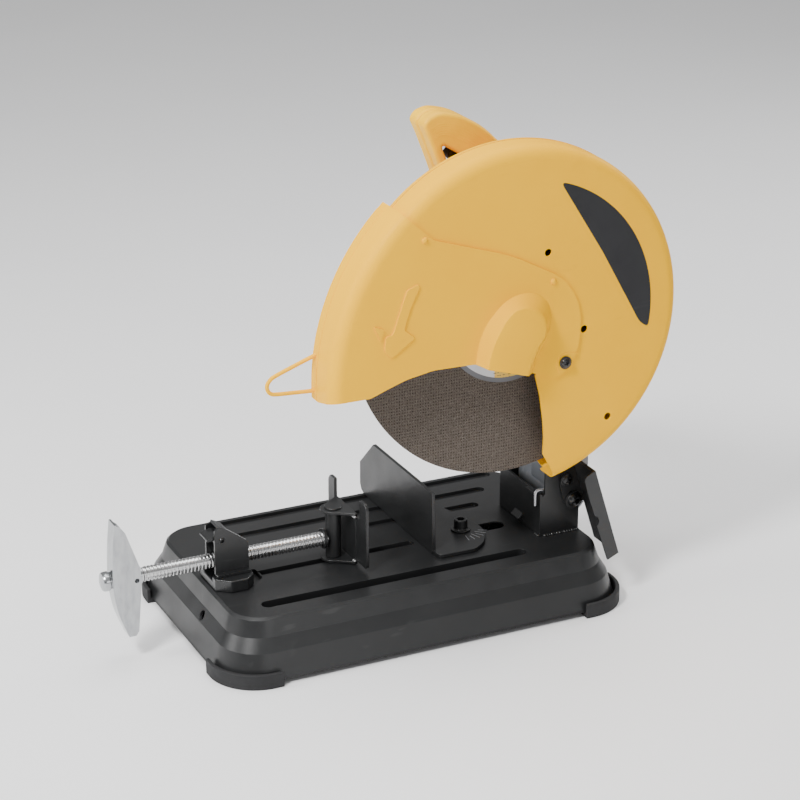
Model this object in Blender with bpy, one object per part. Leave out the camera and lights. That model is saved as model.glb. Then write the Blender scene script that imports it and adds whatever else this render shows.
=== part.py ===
"""Abrasive chop saw with a 355 mm wheel: pressed base, screw vice, fence, and a sprung cutting head.

Frame: +Z up, the operator stands at -Y, +X is the operator's right. Lengths here are in millimetres
and MM turns them into metres. Every shape is drawn where it stands on the base, then hung on an empty
that marks the axis its body moves about.
"""

import math

import bmesh
import bpy
from mathutils import Vector

MM = 0.001
GAP = 0.3

# Base pan
BASE_HALF_X = 147.0
BASE_FRONT_Y, BASE_REAR_Y = -261.5, 211.0
BASE_CORNER = 50.0
RIM_Z, DECK_Z = 6.0, 67.5
SHEET = 2.0
WALL_STEPS = ((0, 0), (1, 2), (8, 28), (16, 42), (20, 55.5), (21.2, 59), (24, 61.5))

# Cutting head
WHEEL_X, WHEEL_Y, WHEEL_Z = 95.0, 79.0, 346.0
WHEEL_R, WHEEL_THICK, BORE_R = 177.5, 3.2, 12.7
GUARD_Y, GUARD_Z, GUARD_R = 77.0, 345.0, 188.5
GUARD_FAR_X, GUARD_LAP_X, GUARD_NEAR_X = 84.0, 97.0, 130.0
COVER_Y, COVER_Z, COVER_R = 110.8, 297.4, 250.0
COVER_FAR_X, COVER_NEAR_X, HUMP_X = 82.0, 132.3, 148.0
LOOP_X = 88.0
MOTOR_Y, MOTOR_Z, MOTOR_R = 125.0, 346.0, 58.0
PIVOT_Y, PIVOT_Z = 177.5, 106.5
HANDLE_X, HANDLE_HALF = 31.0, 19.0

# Rear bracket
BRACKET_LEFT_X, BRACKET_RIGHT_X = -25.4, 69.5
BRACKET_FRONT_Y, BRACKET_REAR_Y = 137.0, 186.0
PLATE = 3.0
FOLD = 2.5

# Vice and fence
VICE_X, SCREW_Z, SCREW_R = 22.5, 93.5, 8.0
TUBE_Y, TUBE_R = -91.0, 8.5
JAW_TOP_Z, FLANGE_TOP_Z, FLANGE_LOW_Z = 147.0, 128.0, 68.4
NUT_PIN_Y, NUT_PIN_Z = -224.7, 121.0
SADDLE_HALF = 14.5
FENCE_Y, FENCE_TOP_Z = 10.2, 139.0
FENCE_BOLT_X, FENCE_BOLT_Y = 24.0, 62.5

# Gear train: tooth counts set the speed ratio, the centre distance sets the module
GEAR_TEETH, PINION_TEETH = 50, 11
CENTRE_DISTANCE = MOTOR_Y - WHEEL_Y


def clear_scene():
    for leftover in list(bpy.data.objects):
        bpy.data.objects.remove(leftover, do_unlink=True)


def paint(name, colour, roughness, metallic=0.0):
    material = bpy.data.materials.new(name)
    material.use_nodes = True
    shader = material.node_tree.nodes["Principled BSDF"]
    shader.inputs["Base Color"].default_value = (*colour, 1.0)
    shader.inputs["Roughness"].default_value = roughness
    shader.inputs["Metallic"].default_value = metallic
    return material


# ---------------------------------------------------------------- shapes

def solid(points, faces):
    """An object from points in millimetres, with its normals facing out."""
    mesh = bpy.data.meshes.new("shape")
    mesh.from_pydata([Vector(p) * MM for p in points], [], faces)
    work = bmesh.new()
    work.from_mesh(mesh)
    bmesh.ops.recalc_face_normals(work, faces=work.faces)
    work.to_mesh(mesh)
    work.free()
    shape = bpy.data.objects.new("shape", mesh)
    bpy.context.scene.collection.objects.link(shape)
    return shape


def place(axis, u, v, along):
    """A point from its two coordinates across an axis and its coordinate along it."""
    if axis == "X":
        return (along, u, v)
    if axis == "Y":
        return (u, along, v)
    return (u, v, along)


def prism(outline, axis, low, high):
    """A flat outline extruded along an axis: (y, z) for X, (x, z) for Y, (x, y) for Z."""
    count = len(outline)
    points = [place(axis, u, v, low) for u, v in outline]
    points += [place(axis, u, v, high) for u, v in outline]
    faces = [tuple(range(count)), tuple(range(2 * count - 1, count - 1, -1))]
    for i in range(count):
        j = (i + 1) % count
        faces.append((i, j, count + j, count + i))
    return solid(points, faces)


def turned(profile, axis, u, v, sides):
    """A profile of (radius, along) turned about an axis; a radius of 0 closes it on the axis."""
    points, rings = [], []
    for radius, along in profile:
        if radius == 0:
            rings.append([len(points)])
            points.append(place(axis, u, v, along))
            continue
        rings.append(list(range(len(points), len(points) + sides)))
        for k in range(sides):
            angle = math.tau * k / sides
            points.append(place(axis, u + radius * math.cos(angle), v + radius * math.sin(angle), along))
    pairs = list(zip(rings, rings[1:]))
    if profile[0][0] and profile[-1][0]:
        pairs.append((rings[-1], rings[0]))
    faces = []
    for first, second in pairs:
        for k in range(sides):
            n = (k + 1) % sides
            if len(first) == 1 and len(second) == 1:
                continue
            if len(first) == 1:
                faces.append((first[0], second[k], second[n]))
            elif len(second) == 1:
                faces.append((first[k], second[0], first[n]))
            else:
                faces.append((first[k], second[k], second[n], first[n]))
    return solid(points, faces)


def disc(radius, axis, u, v, low, high, sides=32):
    return turned([(0, low), (radius, low), (radius, high), (0, high)], axis, u, v, sides)


def ring(inner, outer, axis, u, v, low, high, sides=32):
    return turned([(inner, low), (outer, low), (outer, high), (inner, high)], axis, u, v, sides)


def block(low, high, bevel=0.0, segments=1):
    (x0, y0, z0), (x1, y1, z1) = low, high
    shape = prism([(x0, y0), (x1, y0), (x1, y1), (x0, y1)], "Z", z0, z1)
    return rounded(shape, bevel, segments) if bevel else shape


def rounded(shape, width, segments=1, sharper_than=30):
    """Bevels the edges whose faces meet at more than an angle in degrees."""
    work = bmesh.new()
    work.from_mesh(shape.data)
    edges = [e for e in work.edges if e.calc_face_angle(0) > math.radians(sharper_than)]
    bmesh.ops.bevel(work, geom=edges, offset=width * MM, segments=segments, affect="EDGES",
                    clamp_overlap=True)
    work.to_mesh(shape.data)
    work.free()
    return shape


def swept(path, radius, sides=8, loop=False):
    """A round wire along a path of points, with flat ends."""
    path = [Vector(p) for p in path]
    count = len(path)
    points, faces = [], []
    normal = None
    for i, point in enumerate(path):
        before = path[i - 1] if loop or i else point
        after = path[(i + 1) % count] if loop or i < count - 1 else point
        tangent = (after - before).normalized()
        if normal is None:
            normal = tangent.orthogonal().normalized()
        normal = (normal - tangent * normal.dot(tangent)).normalized()
        side = tangent.cross(normal)
        for k in range(sides):
            angle = math.tau * k / sides
            points.append(point + radius * (math.cos(angle) * normal + math.sin(angle) * side))
    for i in range(count - 1):
        for k in range(sides):
            n = (k + 1) % sides
            a, b = i * sides, (i + 1) * sides
            faces.append((a + k, b + k, b + n, a + n))
    faces.append(tuple(range(sides)))
    faces.append(tuple(range((count - 1) * sides, count * sides)))
    return solid(points, faces)


def combine(shape, other, operation):
    """Applies an exact Boolean to the first shape and removes the second."""
    modifier = shape.modifiers.new("boolean", "BOOLEAN")
    modifier.operation = operation
    modifier.object = other
    bpy.context.view_layer.update()
    graph = bpy.context.evaluated_depsgraph_get()
    result = bpy.data.meshes.new_from_object(shape.evaluated_get(graph))
    shape.modifiers.clear()
    shape.data = result
    bpy.data.objects.remove(other, do_unlink=True)
    return shape


def joined(shape, *others):
    for other in others:
        combine(shape, other, "UNION")
    return shape


def less(shape, *others):
    for other in others:
        combine(shape, other, "DIFFERENCE")
    return shape


def within(shape, mask):
    return combine(shape, mask, "INTERSECT")


def arc(centre, radius, start, end, steps):
    """Points on a circle from one angle to another, in degrees."""
    u, v = centre
    angles = [math.radians(start + (end - start) * i / steps) for i in range(steps + 1)]
    return [(u + radius * math.cos(a), v + radius * math.sin(a)) for a in angles]


def stadium(u0, v0, u1, v1, radius, steps=6):
    """The outline of a slot with round ends between two centres."""
    heading = math.degrees(math.atan2(v1 - v0, u1 - u0))
    return (arc((u1, v1), radius, heading - 90, heading + 90, steps)
            + arc((u0, v0), radius, heading + 90, heading + 270, steps))


def pan_outline(inset, steps=5):
    """The base's plan outline, drawn in by an inset."""
    radius = max(BASE_CORNER - inset * 0.6, 4)
    right = BASE_HALF_X - inset - radius
    rear = BASE_REAR_Y - inset - radius
    front = BASE_FRONT_Y + inset + radius
    corners = ((right, rear, 0), (-right, rear, 90), (-right, front, 180), (right, front, 270))
    return [p for x, y, turn in corners for p in arc((x, y), radius, turn, turn + 90, steps)]


# ---------------------------------------------------------------- nodes

def empty(name, position, parent):
    """An empty at a place on the base, kept under another empty."""
    frame = bpy.data.objects.new(name, None)
    bpy.context.scene.collection.objects.link(frame)
    frame["place"] = [c * MM for c in position]
    if parent:
        frame.parent = parent
        frame.location = Vector(frame["place"]) - Vector(parent["place"])
    return frame


def node(name, shape, material, body):
    """Names a finished shape and hangs it on its body's empty."""
    shape.name = name
    shape.data.name = name
    centre = Vector(body["place"])
    for vertex in shape.data.vertices:
        vertex.co -= centre
    shape.parent = body
    shape.data.materials.clear()
    shape.data.materials.append(material)
    shape.data.shade_smooth()
    shape.data.set_sharp_from_angle(angle=math.radians(35))
    return shape


# ---------------------------------------------------------------- base

def groove(outline, trough, depth):
    """The block that a pressed groove adds under the deck, and the cutter that hollows it."""
    return (prism(outline, "Z", DECK_Z - depth - SHEET, DECK_Z - SHEET / 2),
            prism(trough, "Z", DECK_Z - depth, DECK_Z + 1))


def base_pan():
    rings = [[(x, y, RIM_Z + rise) for x, y in pan_outline(inset)] for inset, rise in WALL_STEPS]
    inner = [[(x, y, RIM_Z + max(rise - SHEET, 0)) for x, y in pan_outline(inset + SHEET)]
             for inset, rise in reversed(WALL_STEPS)]
    rows = rings + inner
    count = len(rows[0])
    points = [p for row in rows for p in row]
    faces = [tuple(range((len(rings) - 1) * count, len(rings) * count))]
    faces.append(tuple(range(len(rings) * count, (len(rings) + 1) * count)))
    for i in list(range(len(rings) - 1)) + list(range(len(rings), len(rows) - 1)):
        for k in range(count):
            n = (k + 1) % count
            faces.append((i * count + k, i * count + n, (i + 1) * count + n, (i + 1) * count + k))
    last = (len(rows) - 1) * count
    for k in range(count):
        n = (k + 1) % count
        faces.append((last + k, last + n, n, k))
    pan = solid(points, faces)
    grooves = [(-111, -178, 162), (-75, -170, 136), (-39, -162, 110)]
    for x, front, rear in grooves:
        pan = joined(pan, prism(stadium(x, front, x, rear, 8.5, 4), "Z", DECK_Z - 6, DECK_Z - 1))
        pan = less(pan, prism(stadium(x, front, x, rear, 6.5, 4), "Z", DECK_Z - 4, DECK_Z + 1))
    kerf, kerf_cut = groove(stadium(WHEEL_X, -197, WHEEL_X, 99, 9.5, 4),
                            stadium(WHEEL_X, -197, WHEEL_X, 99, 7.5, 4), 14)
    pan = less(joined(pan, kerf), kerf_cut)
    track, track_cut = groove(stadium(VICE_X, -190, VICE_X, 0, 7.5, 4),
                              stadium(VICE_X, -190, VICE_X, 0, 5.5, 4), 5)
    pan = less(joined(pan, track), track_cut)
    slot = prism(stadium(21, 45, 21, 108, 9.5, 4), "Z", 40, 90)
    bore = disc(5, "Y", 38, 40, BASE_FRONT_Y - 5, BASE_FRONT_Y + 20, 12)
    return less(pan, slot, bore)


def foot(side, end):
    """A rubber corner that wraps the rim: a side wall outside it and a pad under it."""
    outer = [p for p in pan_outline(-5, 6)]
    inner = [p for p in pan_outline(20, 6)]
    leg = 58.0
    end_y = BASE_REAR_Y if end > 0 else BASE_FRONT_Y

    def near(point):
        return (point[0] * side > BASE_HALF_X - leg - 4) and ((end_y - point[1]) * end < leg + 4)

    band = prism(outer, "Z", 0, 17)
    band = less(band, prism(inner, "Z", -1, 20), prism(pan_outline(-0.8, 6), "Z", RIM_Z - GAP, 30))
    x_in = side * (BASE_HALF_X - leg)
    y_in = end_y - end * leg
    far_x, far_y = side * 200, end_y + end * 60
    window = block((min(x_in, far_x), min(y_in, far_y), -5), (max(x_in, far_x), max(y_in, far_y), 40))
    return within(band, window)


def build_base(root, steel, rubber):
    node("base_pan", base_pan(), steel, root)
    for label, side, end in (("front_right", 1, -1), ("front_left", -1, -1),
                             ("rear_right", 1, 1), ("rear_left", -1, 1)):
        node(f"foot_{label}", foot(side, end), rubber, root)


# ---------------------------------------------------------------- rear bracket and its hardware

def rear_bracket():
    """A folded front wall and two side plates that carry the pivot, with a tab lanced from the wall."""
    floor = DECK_Z + GAP
    left, right = BRACKET_LEFT_X, BRACKET_RIGHT_X
    front, rear = BRACKET_FRONT_Y, BRACKET_REAR_Y
    wall = prism([(left, floor), (right, floor), (right, 118), (left, 118)], "Y", front, front + PLATE)
    lip = prism([(front - 4, 115.4), (front + 2, 115.4), (front + 2, 118), (front - 4, 118)], "X", 42, 60)
    side = [(front, floor), (rear, floor), (rear, 140), (178, 152), (150, 152), (143, 146), (143, 117),
            (front, 113)]
    plates = [prism(side, "X", left, left + PLATE), prism(side, "X", right - PLATE, right)]
    tab_left, tab_right = 12.4, 30.2
    window = block((tab_left, front - 5, 70), (tab_right, front + 8, 79))
    tab = prism([(front + 2, 82), (front - 6, 74), (front - 4, 72), (front + 2, 78)], "X", tab_left, tab_right)
    holes = [disc(6.4, "X", PIVOT_Y, PIVOT_Z, left - 5, right + 5, 20),
             disc(3.4, "X", 168.3, 131.4, right - 10, right + 5, 16)]
    return joined(less(joined(wall, lip, *plates), window, *holes), tab)


def spark_deflector():
    """A sheet folded twice: an ear on the side plate, a web leaning back, and a flange turned forward."""
    ear_x, right = BRACKET_RIGHT_X + GAP, 120.0
    web = [(173.9, 158), (206.7, 54), (209.2, 55), (176.5, 159)]
    ear = [(160, 126), (165.7, 103), (191.2, 103), (192.5, 105), (176.5, 156), (166, 154)]
    flange = [(176.3, 159), (209, 55), (195.7, 49), (180.5, 92.4), (182.5, 98), (181, 104), (176.4, 108),
              (169.7, 127.4), (163.7, 148.6), (166.5, 154)]
    shape = joined(prism(web, "X", ear_x, right), prism(ear, "X", ear_x, ear_x + FOLD),
                   prism(flange, "X", right - FOLD, right))
    return less(shape, disc(3.4, "X", 168.3, 131.4, ear_x - 5, ear_x + 8, 16),
                disc(6.6, "X", PIVOT_Y, PIVOT_Z, ear_x - 5, ear_x + 8, 20))


def pan_head_screw(axis_u, axis_v, seat, tip, radius, head_radius, head_height):
    """A turned screw along X, its domed head at the +X end."""
    top = seat + head_height
    profile = [(0, tip), (radius, tip), (radius, seat), (head_radius, seat),
               (head_radius, seat + head_height * 0.5), (head_radius * 0.75, top), (0, top)]
    return turned(profile, "X", axis_u, axis_v, 20)


def hexagon(radius, turn=0):
    return [(radius * math.cos(math.radians(turn + 60 * k)), radius * math.sin(math.radians(turn + 60 * k)))
            for k in range(6)]


def nut(axis, u, v, low, high, radius, bore):
    shape = prism([(u + a, v + b) for a, b in hexagon(radius)], axis, low, high)
    return less(shape, disc(bore, axis, u, v, low - 2, high + 2, 20))


def return_spring():
    """A torsion spring round the barrel; one leg hooks over the bracket's front wall."""
    turns, steps, radius, wire = 4, 10, 19.0, 1.8
    start_x, pitch = 48.0, 4.1
    coil = []
    for i in range(turns * steps + 1):
        angle = math.pi / 2 + math.tau * i / steps
        coil.append((start_x + pitch * i / steps, PIVOT_Y + radius * math.cos(angle),
                     PIVOT_Z + radius * math.sin(angle)))
    end_x = coil[-1][0]
    hook_z = 121.5
    leg = [(end_x, 160, PIVOT_Z + radius - 1), (end_x, 145, hook_z), (end_x, 136, hook_z),
           (end_x, 133.4, 119), (end_x, 133.4, 104)]
    return swept(coil + leg, wire, 6)


def build_rear(root, steel, dark, zinc):
    node("rear_bracket", rear_bracket(), steel, root)
    node("spark_deflector", spark_deflector(), steel, root)
    ear_face = BRACKET_RIGHT_X + 2 * GAP + FOLD
    node("deflector_screw", pan_head_screw(168.3, 131.4, ear_face, 62, 3, 8, 4.5), dark, root)
    node("pivot_bolt", pan_head_screw(PIVOT_Y, PIVOT_Z, ear_face, -38, 6, 10.5, 6), dark, root)
    outer = BRACKET_LEFT_X - GAP
    node("pivot_nut", nut("X", PIVOT_Y, PIVOT_Z, outer - 8, outer, 10, 6.3), zinc, root)
    stop = joined(disc(4, "Z", 0, 152, DECK_Z + GAP, 90, 16),
                  prism([(a, 152 + b) for a, b in hexagon(7.5)], "Z", 89, 96))
    node("depth_stop_bolt", stop, zinc, root)
    node("depth_stop_nut", nut("Z", 0, 152, 76, 82, 7.5, 4.3), zinc, root)
    node("return_spring", return_spring(), zinc, root)


# ---------------------------------------------------------------- vice

def vice_bracket():
    """An inverted U over the screw, standing on a block."""
    left, right = VICE_X - SADDLE_HALF, VICE_X + SADDLE_HALF
    near = [(-232.7, 81.5), (-194.9, 81.5), (-194.9, 110), (-196.7, 116.5), (-220.2, 134), (-226.2, 136.2),
            (-232.2, 133.8), (-232.7, 128.4)]
    far = [(-232.7, 81.5), (-194.9, 81.5), (-194.9, 96), (-216, 126), (-226.2, 132), (-232.2, 130), (-232.7, 127)]
    shape = joined(prism(near, "X", right - PLATE, right), prism(far, "X", left, left + PLATE))
    strip = [(-197.2, 115), (-219.6, 132.4), (-221.4, 130), (-199, 112.6)]
    bridge = [(-216, 129.8), (-226, 134.5), (-227, 132.3), (-217, 127.4)]
    shape = joined(shape, prism(strip, "X", right - 8, right - 1), prism(bridge, "X", left + 1, right - 1))
    lip = [(-232.7, 81.5), (-194.9, 81.5), (-197, 84.5), (-231, 84.5)]
    shape = joined(shape, prism(lip, "X", left - 5, left + 1), prism(lip, "X", right - 1, right + 6))
    return less(shape, disc(3.3, "X", NUT_PIN_Y, NUT_PIN_Z, left - 9, right + 9, 16))


def vice_pedestal():
    outline = [(VICE_X - 24, -236), (VICE_X + 21, -236), (VICE_X + 33, -222), (VICE_X + 33, -203),
               (VICE_X + 23, -193), (VICE_X - 24, -193)]
    shape = prism(outline, "Z", DECK_Z + GAP, 81.2)
    return less(shape, prism([(VICE_X - 12, -240), (VICE_X + 12, -240), (VICE_X + 12, -195),
                              (VICE_X - 12, -195)], "Z", 76, 90))


def half_nut():
    """The quick-release nut: it bites the screw behind its pin, and a thumb tab in front lifts it."""
    side = [(-229.5, 114), (-220, 106), (-217, 95.5), (-202, 95.5), (-202, 106), (-220, 124.5), (-228, 126.6),
            (-240, 123.4), (-240, 120.4), (-230, 121)]
    body = prism(side, "X", VICE_X - 11, VICE_X + 11)
    return less(body, disc(SCREW_R + GAP, "Y", VICE_X, SCREW_Z, -240, -190, 24),
                disc(3.4, "X", NUT_PIN_Y, NUT_PIN_Z, 0, 50, 16))


def screw_body():
    """The vice screw, ending in a neck inside the pivot tube."""
    start, end = -312.0, TUBE_Y - TUBE_R - 1.0
    profile = [(0, start), (SCREW_R - 1, start), (SCREW_R, start + 1), (SCREW_R, end - 2), (SCREW_R - 1, end - 1),
               (4.5, end - 1), (4.5, TUBE_Y - 4), (0, TUBE_Y - 4)]
    return turned(profile, "Y", VICE_X, SCREW_Z, 32)


def crank():
    """A winged handle folded from sheet: two three-cornered webs and a curved back."""
    reach, back_y, front_y = 65.0, -344.0, -313.0
    z = SCREW_Z

    def wing(y_offset):
        return [(back_y + 5 + y_offset, z + reach), (-331, z + reach - 3), (front_y, z + 10),
                (front_y, z - 10), (-318, z - reach + 2), (back_y + 16, z - reach), (back_y + 4, z - 30),
                (back_y, z - 8), (back_y, z + 16)]

    outline = wing(0)
    shape = prism(outline, "X", VICE_X - 7, VICE_X + 7)
    pocket = [(y + 2.2 if y < -330 else y + 8, zz) for y, zz in outline]
    tall = [(y, z + (zz - z) * 1.2) for y, zz in pocket]
    shape = less(shape, prism(tall, "X", VICE_X - 5, VICE_X + 5))
    return less(shape, disc(3.2, "X", -317.5, z - 4, VICE_X + 2, VICE_X + 10, 12))


def jaw():
    """The jaw: a faced plate with two ears, held by two flanges that ride on the pivot tube."""
    left, right = VICE_X - 48, VICE_X + 52
    low, top, notch = 72.5, JAW_TOP_Z, 124.0
    face = [(left, low), (right - 3, low), (right, low + 3), (right, top - 4), (right - 4, top),
            (right - 18, top), (right - 18, notch), (left + 17, notch), (left + 17, top),
            (left + 4, top), (left, top - 5)]
    plate = prism(face, "Y", -75.5, -72.0)
    ear = [(VICE_X + 26, -76.5)] + arc((VICE_X, TUBE_Y), 14, -10, -170, 8) + [(VICE_X - 26, -76.5)]
    ear += [(VICE_X - 26, -74), (VICE_X + 26, -74)]
    upper = prism(ear, "Z", FLANGE_TOP_Z - PLATE, FLANGE_TOP_Z)
    lower = prism(ear, "Z", FLANGE_LOW_Z, FLANGE_LOW_Z + PLATE)
    web = block((VICE_X - 26, -76.5, FLANGE_LOW_Z + 1), (VICE_X + 26, -74, FLANGE_TOP_Z - 1))
    shape = joined(plate, web, upper, lower)
    return less(shape, disc(TUBE_R - 1.2, "Z", VICE_X, TUBE_Y, 60, 140, 20))


def pivot_tube():
    inner = FLANGE_LOW_Z + PLATE + GAP
    outer = FLANGE_TOP_Z - PLATE - GAP
    neck = TUBE_R - 1.6
    profile = [(0, FLANGE_LOW_Z), (neck, FLANGE_LOW_Z), (neck, inner), (TUBE_R, inner), (TUBE_R, outer),
               (neck, outer), (neck, FLANGE_TOP_Z + GAP), (TUBE_R + 1, FLANGE_TOP_Z + GAP),
               (TUBE_R + 1, FLANGE_TOP_Z + 2), (0, FLANGE_TOP_Z + 2)]
    shape = turned(profile, "Z", VICE_X, TUBE_Y, 20)
    return less(shape, disc(4.9, "Y", VICE_X, SCREW_Z, TUBE_Y - 20, TUBE_Y - 3.4, 16))


def build_vice(root, slide, screw_turn, jaw_turn, lever, steel, dark, bright, chrome):
    node("vice_bracket", vice_bracket(), dark, root)
    node("vice_pedestal", vice_pedestal(), dark, root)
    node("nut_pin", disc(3, "X", NUT_PIN_Y, NUT_PIN_Z, VICE_X - SADDLE_HALF - 1, VICE_X + SADDLE_HALF + 1, 16), bright, root)
    node("half_nut_lever", half_nut(), dark, lever)
    node("vice_screw", screw_body(), bright, screw_turn)
    node("crank", crank(), chrome, screw_turn)
    hub = turned([(0, -354), (8, -354), (10.5, -352), (10.5, -344.3), (0, -344.3)], "Y",
                 VICE_X, SCREW_Z, 20)
    node("crank_rivet", hub, chrome, screw_turn)
    node("jaw_pivot_tube", pivot_tube(), steel, slide)
    collar = ring(SCREW_R + GAP, SCREW_R + 3, "Y", VICE_X, SCREW_Z, -104.5, -101.5, 20)
    node("screw_collar", collar, dark, slide)
    node("vice_jaw", jaw(), steel, jaw_turn)


# ---------------------------------------------------------------- fence

def fence():
    floor = DECK_Z + GAP + 0.1
    face = [(58, floor), (60, floor + 2), (57, FENCE_TOP_Z), (-94, FENCE_TOP_Z), (-130.5, 104.5),
            (-130.5, floor + 10), (-127, floor + 3), (-120, floor)]
    plate = prism(face, "Y", FENCE_Y, FENCE_Y + 4)
    foot_line = [(60, FENCE_Y + 1), (70, FENCE_Y + 1), (74, FENCE_Y + 5), (74.5, 56), (64, 70.5), (51, 79.5),
                 (37, 85.5), (23, 87), (0, 82.5), (-26, 75.5), (-74, 61), (-90, FENCE_Y + 3),
                 (-90, FENCE_Y + 1)]
    shape = joined(plate, prism(foot_line, "Z", floor, floor + 4))
    hole = disc(5.4, "Z", FENCE_BOLT_X, FENCE_BOLT_Y, floor - 5, floor + 8, 20)
    return less(shape, hole)


def fence_bolt():
    seat = DECK_Z + GAP + 0.1 + 4 + GAP
    profile = [(0, 50), (5, 50), (5, seat), (11, seat), (11, seat + 2), (7.5, seat + 3), (7.5, seat + 13),
               (4.5, seat + 13), (4.5, seat + 7), (0, seat + 7)]
    return turned(profile, "Z", FENCE_BOLT_X, FENCE_BOLT_Y, 20)


# ---------------------------------------------------------------- wheel guard

def dish(centre, radius, far_x, near_x, edge, sheet=2.0, sides=72):
    """A drum open on one face, with a rounded corner between its wall and its near face."""
    outer, inner = [], []
    for step in range(5):
        angle = math.radians(90 * step / 4)
        outer.append((radius - edge + edge * math.sin(angle), near_x - edge + edge * math.cos(angle)))
        tight = edge - sheet
        inner.append((radius - edge + tight * math.sin(angle), near_x - edge + tight * math.cos(angle)))
    profile = [(0, near_x)] + outer + [(radius, far_x), (radius - sheet, far_x)]
    profile += list(reversed(inner)) + [(0, near_x - sheet)]
    return turned(profile, "X", *centre, sides)


def guard_near_half():
    """The fixed near half. The front sector and the hub are open under the cover."""
    shape = dish((GUARD_Y, GUARD_Z), GUARD_R, GUARD_LAP_X + GAP, GUARD_NEAR_X, 14)
    opening = [(-170, 560), (-66, 486), (-24, 440), (55, 410), (100, 392)]
    opening += arc((WHEEL_Y, WHEEL_Z), 52, 58, -66, 8)
    opening += [(94, 286), (104.4, 234), (105.4, 195.3), (118, 171.5), (128, 140), (-170, 140)]
    shape = less(shape, prism(opening, "X", 90, 140))
    return less(shape, *[disc(4, "X", y, z, 120, 140, 12) for y, z in ((106, 419), (151, 329), (183, 225))])


def guard_far_half():
    shape = turned([(43, 84), (176, 84), (185, 87.5), (189, 92), (189, 97), (187, 97), (187, 93),
                    (183.5, 89.2), (175.5, 86), (43, 86)], "X", GUARD_Y, GUARD_Z, 72)
    opening = [(-170, 296), (-60, 296), (10, 296), (50, 288), (70, 250), (92, 205), (124, 168),
               (134, 140), (-170, 140)]
    return less(shape, prism(opening, "X", 80, 100))


def cover_region():
    """The outline of the swinging cover, seen along the wheel's axis."""
    edge = [(-190, 520), (-90, 520), (-55, 477), (-26, 450.8), (50.7, 426.4), (95, 405.4), (115.4, 394.5),
            (126, 386), (136, 373), (142.4, 360), (145.3, 345), (145, 323), (144, 313), (139, 302),
            (133.9, 292.5), (129.3, 286.6), (122.3, 281.5), (115, 281), (88, 291), (23, 310.9), (4.7, 311.5),
            (-25.7, 312), (-56, 306.8), (-78, 299.6), (-93, 294), (-130, 284), (-190, 284)]
    return prism(edge, "X", 70, 160)


def hump(scale_about, base_x, top_x, shrink):
    """The bulge over the arbor: a pear-shaped outline drawn up to a smaller plateau, open below."""
    base = [(20, 292), (23, 311), (25, 326), (29.5, 341), (36, 353), (44, 362.6), (54, 372), (65.7, 377.8),
            (78.4, 379.7), (90, 377.5), (99.6, 371.8), (107, 362), (109.6, 350.6), (108.7, 340), (105.5, 329),
            (94, 310), (88.5, 292), (87, 272)]
    top = [(27, 292), (29.7, 312.6), (32.4, 325), (36, 335.4), (41.8, 346.5), (48.4, 357.4), (56.3, 365.4),
           (64.3, 369), (74.7, 368.8), (84, 365), (91.3, 358.5), (96, 349), (96.6, 340), (94, 333),
           (87.5, 323), (79.2, 303.6), (77, 292), (76, 272)]
    points = []
    for outline, x in ((base, base_x), (top, top_x)):
        for y, z in outline:
            y, z = (c + (v - c) * shrink for c, v in zip(scale_about, (y, z)))
            points.append((x, y, z))
    count = len(base)
    faces = [tuple(range(count)), tuple(range(2 * count - 1, count - 1, -1))]
    faces += [(i, (i + 1) % count, count + (i + 1) % count, count + i) for i in range(count)]
    return solid(points, faces)


def guard_cover():
    middle = (66, 335)
    shell = dish((COVER_Y, COVER_Z), COVER_R, COVER_FAR_X, COVER_NEAR_X, 14, sides=96)
    shell = less(joined(shell, hump(middle, COVER_NEAR_X - 1, HUMP_X, 1.0)),
                 hump(middle, COVER_NEAR_X - 5, HUMP_X - 2, 0.93))
    shell = within(shell, cover_region())
    slant = prism([(95, 280), (134, 280), (134, 293.5), (95, 283.5)], "Y", -200, -80)
    return less(shell, slant)


def cover_loop():
    outline = [(-138.6, 331.5), (-160, 324), (-181, 316), (-187, 313), (-190.5, 308), (-190.5, 303),
               (-188, 298.5), (-183, 296.5), (-160, 295), (-140.4, 293.8)]
    return swept([(LOOP_X, y, z) for y, z in outline], 2.2, 8)


# ---------------------------------------------------------------- spindle, gears and motor

def gear(teeth, root_r, tip_r, u, v, low, high, bore, phase):
    """A spur gear with straight-sided teeth, bored for its shaft."""
    outline = []
    for k in range(teeth):
        for share, radius in ((-0.27, root_r), (-0.13, tip_r), (0.13, tip_r), (0.27, root_r)):
            angle = math.tau * (k + share + phase) / teeth
            outline.append((u + radius * math.cos(angle), v + radius * math.sin(angle)))
    shape = prism(outline, "X", low, high)
    return less(shape, disc(bore, "X", u, v, low - 2, high + 2, 24))


def gear_case():
    """A cover bolted to the arm over the gears, open towards the arm."""
    def outline(big, small):
        return (arc((WHEEL_Y, WHEEL_Z), big, 70, 290, 14)
                + arc((MOTOR_Y, MOTOR_Z), small, -80, 80, 8))
    shape = prism(outline(47, 24), "X", 58 + GAP, 83.7)
    shape = less(shape, prism(outline(42, 19), "X", 50, 80))
    return less(shape, disc(14.6, "X", WHEEL_Y, WHEEL_Z, 70, 90, 24),
                disc(4.9, "Z", 70, WHEEL_Y, 384, 400, 16))


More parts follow.
